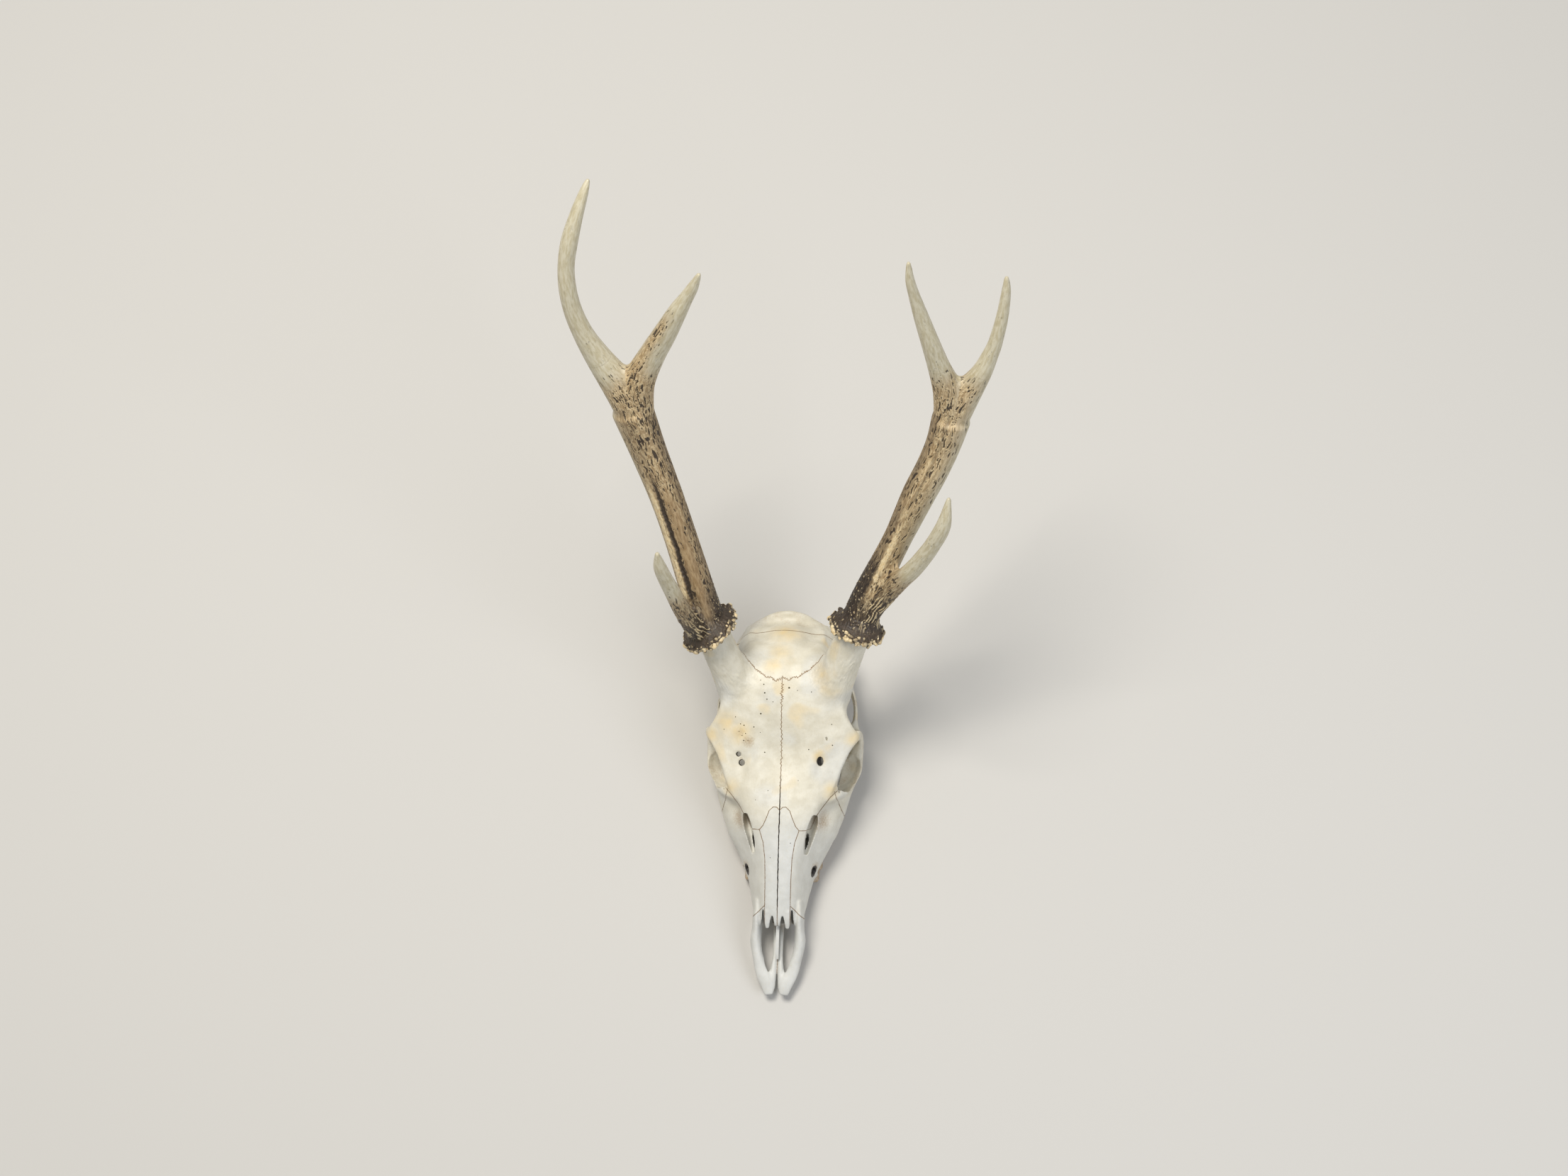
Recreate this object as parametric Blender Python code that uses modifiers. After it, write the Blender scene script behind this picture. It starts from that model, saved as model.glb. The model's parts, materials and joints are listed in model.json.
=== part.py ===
"""Sika deer skull with antlers, life size, as it lies on a table: nose to -Y, antlers to +Y.

Shapes are measured in a face frame (mm): x across, y from the tip of the premaxillae
towards the antlers, z out of the forehead. The finished bones are turned by REST_TILT
so that the molars and the occipital condyles stand on the ground at z = 0.
"""
import math
import random

import bmesh
import bpy
import numpy as np
from mathutils import Matrix, Vector

MM = 0.001
REST_TILT = math.radians(18.0)
SKULL_VOXEL = 1.25
ANTLER_VOXEL = 1.3
SKULL_TRIANGLES = 7350
ANTLER_TRIANGLES = 1850
FILLET = 3.2
BROAD_FILLET = 8.0
ANTLER_FILLET = 2.4
KERF = 0.3

BASE_LEVEL = 52.0
BASE_SLOPE = math.tan(REST_TILT)
ORBIT = (42.5, 167.0, -27.5)
ORBIT_RADIUS = 20.0
CORONET_LEFT = (-52.2, 268, 27)
CORONET_RIGHT = (54.4, 271.5, 27)
CORONET_RADIUS = {-1: 22.0, 1: 20.5}
BURR_AXIS = {-1: (-0.5, 0.64, 0.58), 1: (0.3, 0.81, 0.5)}

for old in list(bpy.data.objects):
    bpy.data.objects.remove(old, do_unlink=True)


def new_collection(name):
    collection = bpy.data.collections.new(name)
    bpy.context.scene.collection.children.link(collection)
    return collection


PARTS = new_collection("Sika_deer_skull")
HELPERS = new_collection("Guides")
HELPERS.hide_render = True


# Meshes in mm

def mesh_object(name, points, faces):
    mesh = bpy.data.meshes.new(name)
    mesh.from_pydata([tuple(float(v) * MM for v in p) for p in points], [], faces)
    mesh.update()
    obj = bpy.data.objects.new(name, mesh)
    HELPERS.objects.link(obj)
    obj.hide_render = True
    obj.display_type = "WIRE"
    return obj


def outward(obj):
    work = bmesh.new()
    work.from_mesh(obj.data)
    bmesh.ops.recalc_face_normals(work, faces=work.faces)
    if work.calc_volume(signed=True) < 0:
        bmesh.ops.reverse_faces(work, faces=work.faces)
    work.to_mesh(obj.data)
    work.free()
    return obj


def loft(name, rings):
    """A closed skin over equal rings of points, capped at both ends."""
    count = len(rings[0])
    points = [p for ring in rings for p in ring]
    faces = []
    for i in range(len(rings) - 1):
        for j in range(count):
            k = (j + 1) % count
            faces.append((i * count + j, i * count + k,
                          (i + 1) * count + k, (i + 1) * count + j))
    last = (len(rings) - 1) * count
    faces.append(tuple(range(count))[::-1])
    faces.append(tuple(range(last, last + count)))
    return outward(mesh_object(name, points, faces))


def smooth_path(points, steps):
    """Catmull-Rom samples through rows of numbers."""
    rows = [np.array(p, float) for p in points]
    rows = [2 * rows[0] - rows[1]] + rows + [2 * rows[-1] - rows[-2]]
    out = []
    for i in range(1, len(rows) - 2):
        a, b, c, d = rows[i - 1:i + 3]
        for s in range(steps):
            t = s / steps
            out.append(0.5 * (2 * b + (c - a) * t + (2 * a - 5 * b + 4 * c - d) * t * t
                              + (3 * b - a - 3 * c + d) * t ** 3))
    out.append(rows[-2])
    return out


def section_loft(name, stations, steps=3, samples=5):
    """Stations are (y, half profile of (x, z) from the top midline to the bottom midline)."""
    rows = [np.array([y] + [v for p in half for v in p], float) for y, half in stations]
    rings = []
    for row in smooth_path(rows, steps):
        half = row[1:].reshape(-1, 2)
        full = np.vstack([half, (half * (-1, 1))[-2:0:-1]])
        loop = np.vstack([full[-1:], full, full[:2]])
        ring = []
        for i in range(1, len(loop) - 2):
            a, b, c, d = loop[i - 1:i + 3]
            for s in range(samples):
                t = s / samples
                p = 0.5 * (2 * b + (c - a) * t + (2 * a - 5 * b + 4 * c - d) * t * t
                           + (3 * b - a - 3 * c + d) * t ** 3)
                ring.append((p[0], row[0], p[1]))
        rings.append(ring)
    return loft(name, rings)


def tube(name, path, side=(1, 0, 0), steps=4, sides=16):
    """Path rows are (x, y, z, radius across, radius along `side` x tangent)."""
    rows = smooth_path([p if len(p) == 5 else tuple(p) + (p[3],) for p in path], steps)
    side = Vector(side)
    rings = []
    for i, row in enumerate(rows):
        ahead = rows[min(i + 1, len(rows) - 1)][:3] - rows[max(i - 1, 0)][:3]
        along = Vector(ahead).normalized()
        across = (side - along * side.dot(along)).normalized()
        up = along.cross(across)
        centre = Vector(row[:3])
        rings.append([centre + across * (max(row[3], 0.2) * math.cos(a))
                      + up * (max(row[4], 0.2) * math.sin(a))
                      for a in (2 * math.pi * k / sides for k in range(sides))])
    return loft(name, rings)


def ball(name, centre, radii, turn=(0, 0, 0), segments=24):
    work = bmesh.new()
    bmesh.ops.create_uvsphere(work, u_segments=segments, v_segments=segments // 2, radius=1)
    spin = (Matrix.Rotation(turn[2], 3, "Z") @ Matrix.Rotation(turn[1], 3, "Y")
            @ Matrix.Rotation(turn[0], 3, "X"))
    for v in work.verts:
        v.co = (spin @ Vector(c * r for c, r in zip(v.co, radii)) + Vector(centre)) * MM
    mesh = bpy.data.meshes.new(name)
    work.to_mesh(mesh)
    work.free()
    obj = bpy.data.objects.new(name, mesh)
    HELPERS.objects.link(obj)
    obj.hide_render = True
    obj.display_type = "WIRE"
    return obj


def both(make, name, *data, **more):
    """The same mass on the right (+x) and, mirrored, on the left."""
    right = make(name + "_right", *data, **more)
    left = right.copy()
    left.data = right.data.copy()
    left.name = name + "_left"
    HELPERS.objects.link(left)
    left.data.transform(Matrix.Diagonal((-1, 1, 1, 1)))
    return [right, outward(left)]


def join(name, pieces):
    work = bmesh.new()
    for piece in pieces:
        work.from_mesh(piece.data)
    mesh = bpy.data.meshes.new(name)
    work.to_mesh(mesh)
    work.free()
    for piece in pieces:
        bpy.data.objects.remove(piece, do_unlink=True)
    obj = bpy.data.objects.new(name, mesh)
    HELPERS.objects.link(obj)
    obj.hide_render = True
    obj.display_type = "WIRE"
    return obj


def settle(obj):
    """The object's mesh with its modifiers applied."""
    graph = bpy.context.evaluated_depsgraph_get()
    graph.update()
    mesh = bpy.data.meshes.new_from_object(obj.evaluated_get(graph))
    old = obj.data
    obj.modifiers.clear()
    obj.data = mesh
    bpy.data.meshes.remove(old)
    return obj


def remesh(obj, voxel):
    mod = obj.modifiers.new("skin", "REMESH")
    mod.mode = "VOXEL"
    mod.voxel_size = voxel * MM
    return settle(obj)


def swell(obj, amount):
    mod = obj.modifiers.new("swell", "DISPLACE")
    mod.mid_level = 0.0
    mod.strength = amount * MM
    return settle(obj)


def soften(obj, factor, rounds):
    mod = obj.modifiers.new("soft", "SMOOTH")
    mod.factor = factor
    mod.iterations = rounds
    return settle(obj)


def filleted(obj, radius, voxel):
    remesh(obj, voxel)
    swell(obj, radius)
    remesh(obj, voxel)
    swell(obj, -radius)
    remesh(obj, voxel)
    return soften(obj, 0.5, 3)


def carve(obj, cutters):
    """Subtracts every cutter, then removes the cutters."""
    group = bpy.data.collections.new("cut")
    HELPERS.children.link(group)
    for cutter in cutters:
        group.objects.link(cutter)
        outward(cutter)
    mod = obj.modifiers.new("cut", "BOOLEAN")
    mod.operation = "DIFFERENCE"
    mod.operand_type = "COLLECTION"
    mod.collection = group
    mod.solver = "MANIFOLD"
    settle(obj)
    for cutter in cutters:
        bpy.data.objects.remove(cutter, do_unlink=True)
    bpy.data.collections.remove(group)
    return obj


def islands(obj):
    """(points, triangles, volume) of every closed surface of the object."""
    work = bmesh.new()
    work.from_mesh(obj.data)
    bmesh.ops.triangulate(work, faces=work.faces)
    work.verts.index_update()
    points = np.array([v.co[:] for v in work.verts])
    faces = np.array([[v.index for v in f.verts] for f in work.faces])
    work.free()
    label = np.arange(len(points))
    while True:
        low = np.minimum.reduce(label[faces], axis=1)
        new = label.copy()
        np.minimum.at(new, faces.ravel(), np.repeat(low, 3))
        new = new[new]
        if (new == label).all():
            break
        label = new
    out = []
    for root in np.unique(label[faces[:, 0]]):
        mine = faces[label[faces[:, 0]] == root]
        used, index = np.unique(mine, return_inverse=True)
        tri = points[mine]
        volume = np.einsum("ij,ij->i", tri[:, 0], np.cross(tri[:, 1], tri[:, 2])).sum() / 6
        out.append((points[used], index.reshape(-1, 3), volume))
    return out


def set_mesh(obj, points, faces):
    mesh = bpy.data.meshes.new(obj.name)
    mesh.from_pydata(points.tolist(), [], faces.tolist())
    mesh.update()
    old = obj.data
    obj.data = mesh
    bpy.data.meshes.remove(old)
    return obj


def largest(obj):
    points, faces, _ = max(islands(obj), key=lambda part: part[2])
    return set_mesh(obj, points, faces)


def thin_out(obj, triangles):
    count = sum(len(p.vertices) - 2 for p in obj.data.polygons)
    mod = obj.modifiers.new("fewer", "DECIMATE")
    mod.ratio = min(1.0, triangles / count)
    return settle(obj)


def push(obj, strokes):
    """Strokes are (centre, radii, vector): a soft Gaussian push of the skin, in mm."""
    mesh = obj.data
    co = np.empty(len(mesh.vertices) * 3)
    mesh.vertices.foreach_get("co", co)
    co = co.reshape(-1, 3) / MM
    start = co.copy()
    for centre, radii, vector in strokes:
        for side in (1, -1):
            if side < 0 and abs(centre[0]) < 0.01:
                continue
            flip = np.array((side, 1, 1))
            away = (start - np.array(centre) * flip) / np.array(radii)
            co += np.exp(-(away ** 2).sum(1))[:, None] * (np.array(vector) * flip)
    mesh.vertices.foreach_set("co", (co * MM).ravel())
    mesh.update()
    return obj


# Kerfs: thin sheets that part one bone from the next

def sheet(name, lower, upper):
    """A strip between two lines of points, KERF thick."""
    count = len(lower)
    points = list(lower) + list(upper)
    faces = []
    for i in range(count - 1):
        faces.append((i, i + 1, count + i + 1))
        faces.append((i, count + i + 1, count + i))
    obj = mesh_object(name, points, faces)
    mod = obj.modifiers.new("wall", "SOLIDIFY")
    mod.thickness = KERF * MM
    mod.offset = 0
    return outward(settle(obj))


def plate(name, outline):
    """A flat sheet inside an outline of points, KERF thick."""
    obj = mesh_object(name, outline, [tuple(range(len(outline)))])
    mod = obj.modifiers.new("wall", "SOLIDIFY")
    mod.thickness = KERF * MM
    mod.offset = 0
    return outward(settle(obj))


def zigzag(line, step, reach, seed):
    """Extra points along a line, thrown to either side in turn."""
    dice = random.Random(seed)
    out = [Vector(line[0])]
    turn = 1
    for a, b in zip(line, line[1:]):
        a, b = Vector(a), Vector(b)
        count = max(1, round((b - a).length / step))
        across = Vector((-(b - a).y, (b - a).x, 0)).normalized()
        for i in range(1, count + 1):
            throw = turn * reach * (0.55 + 0.45 * dice.random()) if i < count else 0
            out.append(a.lerp(b, i / count) + across * throw)
            turn = -turn
    return out


# Skull masses

FACE = [
    (50, [(0, -6), (6, -6.6), (12, -11), (16.8, -19), (17.6, -26), (15, -32), (8, -34.5), (0, -34)]),
    (57, [(0, -3.6), (7, -4.6), (13.4, -10), (18, -19), (18.7, -27), (16, -34), (8, -36.5), (0, -35.5)]),
    (66, [(0, -1.6), (8, -2.8), (14.2, -9), (19.4, -20), (20.8, -29), (18.4, -37), (9, -39), (0, -38)]),
    (84, [(0, 0.3), (8.5, -1), (14.8, -7), (21.2, -20), (25, -32), (23.6, -42), (12, -43.5), (0, -42)]),
    (98, [(0, 0.8), (9, -0.6), (15.4, -6.4), (24.6, -20), (31.2, -35), (29.6, -46), (14, -48), (0, -46)]),
    (112, [(0, 1), (10, -0.4), (18, -5.8), (28.4, -18), (38.4, -35), (34, -50), (15, -52), (0, -50)]),
    (126, [(0, 1), (11.5, -0.2), (21, -4), (32, -15), (42.6, -34), (36, -53), (18, -56), (0, -54)]),
    (140, [(0, 0), (14, -0.8), (27, -4), (36, -12), (46, -33), (38, -54), (20, -60), (0, -57.5)]),
    (152, [(0, -1.6), (17, -1.8), (31, -4.4), (38.6, -10), (47, -34), (36, -52), (20, -62), (0, -60)]),
    (165, [(0, -2.4), (20, -2.2), (34, -4), (42, -7.6), (42, -24), (26, -44), (12, -58), (0, -61)]),
    (180, [(0, -1.6), (22, -1.2), (38, -4), (47.4, -8.4), (40, -21), (22, -40), (12, -60), (0, -64)]),
    (192, [(0, 0.8), (22, 1.6), (42, -2.4), (54, -10), (42, -21), (25, -40), (15, -64), (0, -67)]),
    (204, [(0, 4), (22, 4.4), (38, 0), (47, -9), (37, -24), (30, -44), (19, -70), (0, -73)]),
    (216, [(0, 6.4), (22, 6.8), (35, 2.6), (42.5, -8), (38, -26), (35, -50), (24, -74), (0, -79)]),
    (232, [(0, 7), (20, 7), (32, 2), (38.6, -10), (39, -32), (38, -56), (26, -78), (0, -84)]),
    (246, [(0, 1), (16, 0), (29, -6), (36.6, -19), (39, -40), (37, -62), (25, -84), (0, -91)]),
    (258, [(0, -11), (14, -12), (26, -18), (33, -31), (36, -48), (33, -66), (22, -88), (0, -97)]),
    (267, [(0, -24), (12, -25), (23, -31), (30, -42), (33, -54), (29, -70), (20, -88), (0, -98)]),
    (272, [(0, -38), (10, -39), (20, -42), (27, -49), (29, -58), (25, -70), (16, -82), (0, -88)]),
]

CHEEK = [
    (35.6, 115, -37, 4.6, 7.6), (38, 122, -38.6, 4.8, 8.8), (41.4, 132, -41, 5, 9.6),
    (44.4, 143, -42, 5, 10), (47.2, 153, -43.6, 5.2, 9.4), (51.8, 163, -45.6, 5.6, 7.8),
    (52.4, 173, -47.8, 6, 7), (53.4, 184, -50.4, 4.6, 6.6), (50.6, 198, -53.6, 3, 6),
    (50.2, 212, -57, 2.6, 5.4), (46.4, 225, -60.5, 2.8, 4.8), (43, 236, -63, 3.6, 4.6),
    (38.6, 244, -64, 5, 4.6),
]
ORBIT_FLOOR = [
    (40, 150, -36, 5, 3), (44.5, 158, -43, 6, 2.6), (47, 168, -46.4, 6.4, 2.4),
    (49, 178, -48.4, 5.6, 2.4), (52, 187, -50, 3.6, 2.4),
]
ORBIT_RIM = [
    (35, 143.5, -9, 3, 3), (40.6, 146.5, -15, 3.6, 3.2), (45.6, 149, -26, 3.4, 3.4),
    (49.4, 154, -35, 3, 3.6), (54, 163, -40.5, 2.8, 3.8), (55.2, 175, -43.5, 2.7, 3.8),
    (56.4, 186, -44, 2.7, 4),
]
BROW_RIM = [
    (33.6, 143, -8.2, 3, 2.8), (37.2, 152, -7.4, 2.7, 2.4), (41, 162, -7.4, 2.6, 2.3),
    (44.6, 172, -8, 2.6, 2.3), (49.4, 182, -9.2, 2.8, 2.5), (54.4, 190.4, -10.6, 3, 3.2),
]
BAR = [
    (53.6, 190, -10, 2.8, 4), (55.2, 191.4, -16, 2.5, 4.4), (56, 191.4, -26, 2.2, 4),
    (56, 190, -36, 2.3, 4.4), (55.6, 188, -47, 2.8, 6),
]
TEMPORAL_EDGE = [
    (54.4, 190.6, -10, 3, 3), (49, 198, -6, 3.4, 3.2), (43.6, 207, -2, 4, 3.6),
    (40, 217, 0, 5, 4.4), (40, 227, 2, 6, 6),
]
CREST = [
    (0, 280, -43.5, 2.6, 3.4), (8, 279, -43.8, 2.6, 3.2), (16, 276.2, -45.5, 2.4, 3),
    (24, 271.2, -49, 2.4, 3), (31, 265, -54, 2.4, 3), (36.6, 256.6, -59, 2.6, 3.2),
    (41, 247, -62.5, 3, 4),
]
PREMAXILLA = [
    (5.6, -1.4, -15, 3.2, 1.8), (6, 2.4, -15.3, 4.6, 2.5), (7, 7.5, -15.8, 5.6, 3),
    (10.8, 15, -16.8, 5.2, 3.6), (14.6, 27, -18, 4, 5), (16.4, 38, -19, 4.2, 7),
    (15.8, 47, -19.6, 3.6, 9.4), (15.7, 57, -20.4, 3.4, 12.2), (15.2, 68, -21.4, 3.2, 13),
]
PALATE_PRONG = [
    (4.2, 3.6, -16, 3.4, 2.4), (3.1, 13, -17.4, 2.7, 2.8), (2.2, 24, -20.6, 1.9, 3),
    (2, 36, -24.6, 1.8, 3.2), (2.2, 48, -29.4, 1.9, 3.2), (3, 60, -33.4, 2.6, 3),
]
NASAL_PRONG = [
    (7.4, 48.4, -9, 1.5, 1.2), (7.6, 54, -6.6, 2, 1.5), (7.6, 62, -4.8, 2, 1.8),
]
BASIOCCIPITAL = [
    (0, 196, -66, 8, 7), (0, 214, -75, 9.5, 8), (0, 232, -84, 11, 8.4),
    (0, 248, -91.5, 11.6, 8.4), (0, 264, -98, 12, 8),
]
PTERYGOID = [
    (12.6, 150, -57, 2, 6), (12.4, 160, -64, 1.7, 6), (12, 172, -70, 1.6, 6.4),
    (11.4, 184, -73, 1.7, 6.4), (11, 195, -72, 2, 6),
]
PARACONDYLAR = [
    (27, 254, -74, 5, 6), (27.4, 257, -86, 3.6, 5.4), (26.4, 259.6, -97, 2.8, 4.6),
    (25, 261.6, -106.6, 2.2, 3.4),
]
PEDICLE = {
    -1: [(-32.4, 219, -13, 15.4), (-36.4, 231, -3, 14.6), (-41.5, 244, 8, 13.4),
         (-47.1, 256.6, 18.4, 12.8), (-53.2, 270.6, 29.4, 12.6)],
    1: [(34, 219, -13, 15.4), (37.8, 231, -3, 14.6), (43.2, 245, 7.6, 13.4),
         (48.9, 259, 18, 12.8), (55.1, 274, 29.2, 12.6)],
}

TEETH = [
    (24.2, 84, 8, 8.6), (25.8, 93.2, 9.2, 9.8), (27.6, 103.2, 10, 10.2),
    (28.4, 115, 12, 12.4), (30.4, 128.6, 13.2, 13.8), (31.6, 142.8, 13.4, 14.2),
]


def base_z(y):
    """Height of the plane that the teeth and the condyles stand on."""
    return -BASE_LEVEL - (y - 85.0) * BASE_SLOPE


def tooth(name, x, y, wide, long):
    """One crown of two lobes, with its root end in the jaw."""
    ground = base_z(y)
    rings = []
    for depth, grow in ((12.5, 0.78), (8.5, 0.9), (4.5, 1.0), (-1.5, 0.94)):
        ring = []
        for k in range(24):
            a = 2 * math.pi * k / 24
            c, s = math.cos(a), math.sin(a)
            px = math.copysign(abs(c) ** 0.62, c) * wide / 2 * grow
            py = math.copysign(abs(s) ** 0.62, s) * long / 2 * (0.5 + 0.5 * grow)
            px *= 1 - 0.17 * math.exp(-(py / (0.16 * long)) ** 2)
            ring.append((x + px, y + py, ground + depth))
        rings.append(ring)
    return loft(name, rings)


def broad_masses():
    pieces = [section_loft("face", FACE)]
    pieces += both(tube, "brow_rim", BROW_RIM)
    pieces += both(tube, "temporal_edge", TEMPORAL_EDGE)
    pieces += both(ball, "parietal", (17, 232, -34), (23, 34, 38))
    pieces.append(ball("occiput", (0, 257, -66), (30, 16, 31)))
    for side, path in PEDICLE.items():
        pieces.append(tube("pedicle", path))
    return pieces


def fine_masses():
    pieces = both(tube, "cheek", CHEEK)
    pieces += both(tube, "orbit_rim", ORBIT_RIM, side=(0, 1, 0))
    pieces += both(tube, "bar", BAR)
    pieces += both(tube, "crest", CREST, side=(0, 1, 0))
    pieces += both(tube, "pterygoid", PTERYGOID)
    pieces += both(tube, "paracondylar", PARACONDYLAR)
    pieces.append(tube("basioccipital", BASIOCCIPITAL))
    pieces += both(ball, "condyle", (12.6, 266, -101), (7.4, 8.6, 12.4), turn=(0.3, 0, 0.35))
    pieces += both(ball, "bulla", (21, 243, -87), (7, 10, 6.5), turn=(0, 0, -0.4))
    pieces += both(ball, "ear_root", (36.5, 247, -63), (9, 10, 7.5))
    pieces += both(ball, "glenoid", (38, 231, -64), (10.5, 8, 4.6))
    return pieces


STROKES = [
    ((0, 176, 0), (17, 15, 30), (0, 0, -2.6)),
    ((20, 168, -2), (9, 14, 12), (0, 0, 0.9)),
    ((29, 166, -3), (4.5, 10, 10), (0, 0, -1.8)),
    ((29, 173, -3), (4, 5, 10), (0, 0, -1.6)),
    ((0, 214, 6), (7, 22, 10), (0, 0, 0.8)),
    ((35.5, 137, -16), (7, 12, 12), (-3.6, 0, -4.6)),
    ((27, 112, -18), (7, 18, 9), (-1.2, 0, -0.6)),
    ((17, 262, -18), (5.5, 13, 16), (0, -1.4, -2.2)),
    ((0, 262, -22), (8, 10, 12), (0, 0.8, 1)),
    ((0, 247, -2), (9, 10, 8), (0, 0, 0.8)),
    ((17, 279, -66), (8, 8, 12), (0, -4, 0)),
    ((0, 281, -64), (3, 8, 14), (0, 2.2, 0)),
    ((44, 204, -40), (6, 14, 12), (-3, 0, 0)),
    ((0, 100, -48), (11, 34, 8), (0, 0, 2.2)),
]

NASAL_CAVITY = [
    (34, [(0, -8.6), (6, -9), (10, -10.6), (11.4, -13.4), (10, -16), (6, -17.6), (0, -18)]),
    (42, [(0, -8.6), (6, -9.2), (10.4, -11.6), (12.2, -16), (10.6, -19.6), (6.4, -21.6), (0, -22)]),
    (50, [(0, -8.6), (6, -9.2), (10.6, -12.6), (12.8, -18.6), (11.4, -23.6), (7, -26), (0, -26.4)]),
    (57, [(0, -6.8), (6.4, -7.6), (11, -11.6), (13.8, -19.6), (12.6, -27), (7.4, -30.6), (0, -31)]),
    (66, [(0, -4.6), (6.6, -5.6), (11.4, -10.6), (14.8, -20), (14, -29), (8, -33.6), (0, -34)]),
    (84, [(0, -2.8), (7, -4), (12.4, -9), (16.6, -20), (17, -31), (10, -37), (0, -37.4)]),
    (100, [(0, -2.4), (8, -3.6), (14, -8.4), (19, -20), (20, -32), (12, -39), (0, -39.6)]),
    (114, [(0, -2.6), (8.6, -3.8), (16, -8.6), (21, -20), (22, -32), (12, -40), (0, -41)]),
    (126, [(0, -5), (8, -6), (15, -10), (19, -20), (19, -32), (10, -40), (0, -41)]),
    (134, [(0, -12), (5, -13), (9, -16), (11, -21), (10, -28), (5, -33), (0, -34)]),
]
VACUITY = [
    (19.4, 103, -8, 1.4, 8), (20.8, 110, -8, 2.6, 10), (22.6, 118, -8, 3.4, 12),
    (24.6, 126, -8, 3.2, 12), (25.8, 132.5, -8, 1.6, 9),
]
CHOANA = [
    (0, 204, -86, 8, 8), (0, 186, -76, 9.2, 9), (0, 168, -67, 9.8, 9.4),
    (0, 154, -58, 9.2, 8.6), (0, 144, -51, 7.4, 6.6),
]


def skull_cutters():
    cuts = [section_loft("nasal_cavity", NASAL_CAVITY)]
    cuts += both(ball, "orbit", ORBIT, (ORBIT_RADIUS, ORBIT_RADIUS - 1, 17.5), turn=(0, 0.5, -0.3))
    cuts += both(ball, "orbit_mouth", (55, 168, -25), (11, 17.2, 14.6), turn=(0, 0, -0.32))
    cuts += both(ball, "temporal_fossa", (47.5, 210, -31), (9, 18, 23), turn=(0, 0, 0.2))
    cuts += both(ball, "fossa_low", (45, 214, -52), (5.6, 17, 13), turn=(0, 0, 0.16))
    cuts += both(ball, "fossa_link", (43, 189, -34), (9, 16, 13))
    cuts += both(tube, "orbit_slit", [(38, 153, -40, 2.4, 9), (38.4, 162, -46, 3.6, 10),
                                      (38, 174, -50, 5, 12), (40, 190, -54, 6.5, 12)])
    cuts += both(tube, "nasal_notch", [(4, 44, -8, 2.2, 9), (3.9, 52, -7, 1.7, 9),
                                       (3.8, 58.4, -6, 0.5, 9)])
    cuts += both(tube, "nasal_gap", [(11, 44, -9, 1.8, 9), (10.7, 54, -8, 1.1, 8),
                                     (10.5, 62.6, -6, 0.5, 6)])
    cuts += both(tube, "vacuity", VACUITY)
    cuts += both(tube, "palate_gap", [(6.2, 14.5, -18, 0.5, 12), (7.2, 22, -20, 2.4, 16),
                                      (7.6, 34, -24, 3.5, 20), (7.4, 45, -30, 2.8, 16),
                                      (6.8, 53, -34, 1.2, 12)])
    cuts.append(tube("choana", CHOANA))
    cuts.append(tube("foramen_magnum", [(0, 240, -88, 7, 7), (0, 256, -92, 8.6, 8),
                                        (0, 272, -96, 9.6, 9), (0, 290, -100, 10.4, 10)]))
    cuts += both(tube, "ear_hole", [(38, 246, -62.6, 2.4), (52, 251, -62, 3)], side=(0, 1, 0))
    cuts += both(tube, "infraorbital", [(17, 96, -27, 2.6, 1.8), (25.6, 89, -26, 3.2, 2.4),
                                        (31, 82, -25, 3.6, 2.8)], side=(0, 0, 1))
    cuts += both(tube, "lacrimal_hole", [(43, 152, -17, 1.5), (37, 143, -16, 1.5)], side=(0, 0, 1))
    cuts.append(tube("brow_hole_right", [(28.4, 172.8, 4, 2.7, 4), (28.6, 172, -15, 2.2, 3)]))
    cuts.append(tube("brow_hole_a", [(-29.2, 170, 4, 2.6, 2.6), (-29, 169.4, -15, 2, 2.2)]))
    cuts.append(tube("brow_hole_b", [(-31.9, 176.4, 4, 1.9, 1.9), (-31.4, 175.6, -15, 1.8, 1.8)]))
    return cuts


def ground_block():
    """Everything below the plane that the skull stands on."""
    points = []
    for depth in (0, 60):
        for x, y in ((-120, 0), (120, 0), (120, 330), (-120, 330)):
            points.append((x, y, base_z(y) - depth))
    faces = [(0, 1, 2, 3), (7, 6, 5, 4), (0, 4, 5, 1), (1, 5, 6, 2), (2, 6, 7, 3), (3, 7, 4, 0)]
    return outward(mesh_object("ground_block", points, faces))


def above_pedicles():
    """Two discs that end the pedicles just under the coronets."""
    out = []
    for side, centre in ((-1, CORONET_LEFT), (1, CORONET_RIGHT)):
        axis = antler_axis(side)
        centre = Vector(centre)
        a = centre - axis * 3.3
        b = centre + axis * 16
        out.append(tube("pedicle_end", [tuple(a) + (27,), tuple(b) + (27,)], sides=32))
    return out


# Antlers: rows are (x, y, z, radius)

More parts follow.
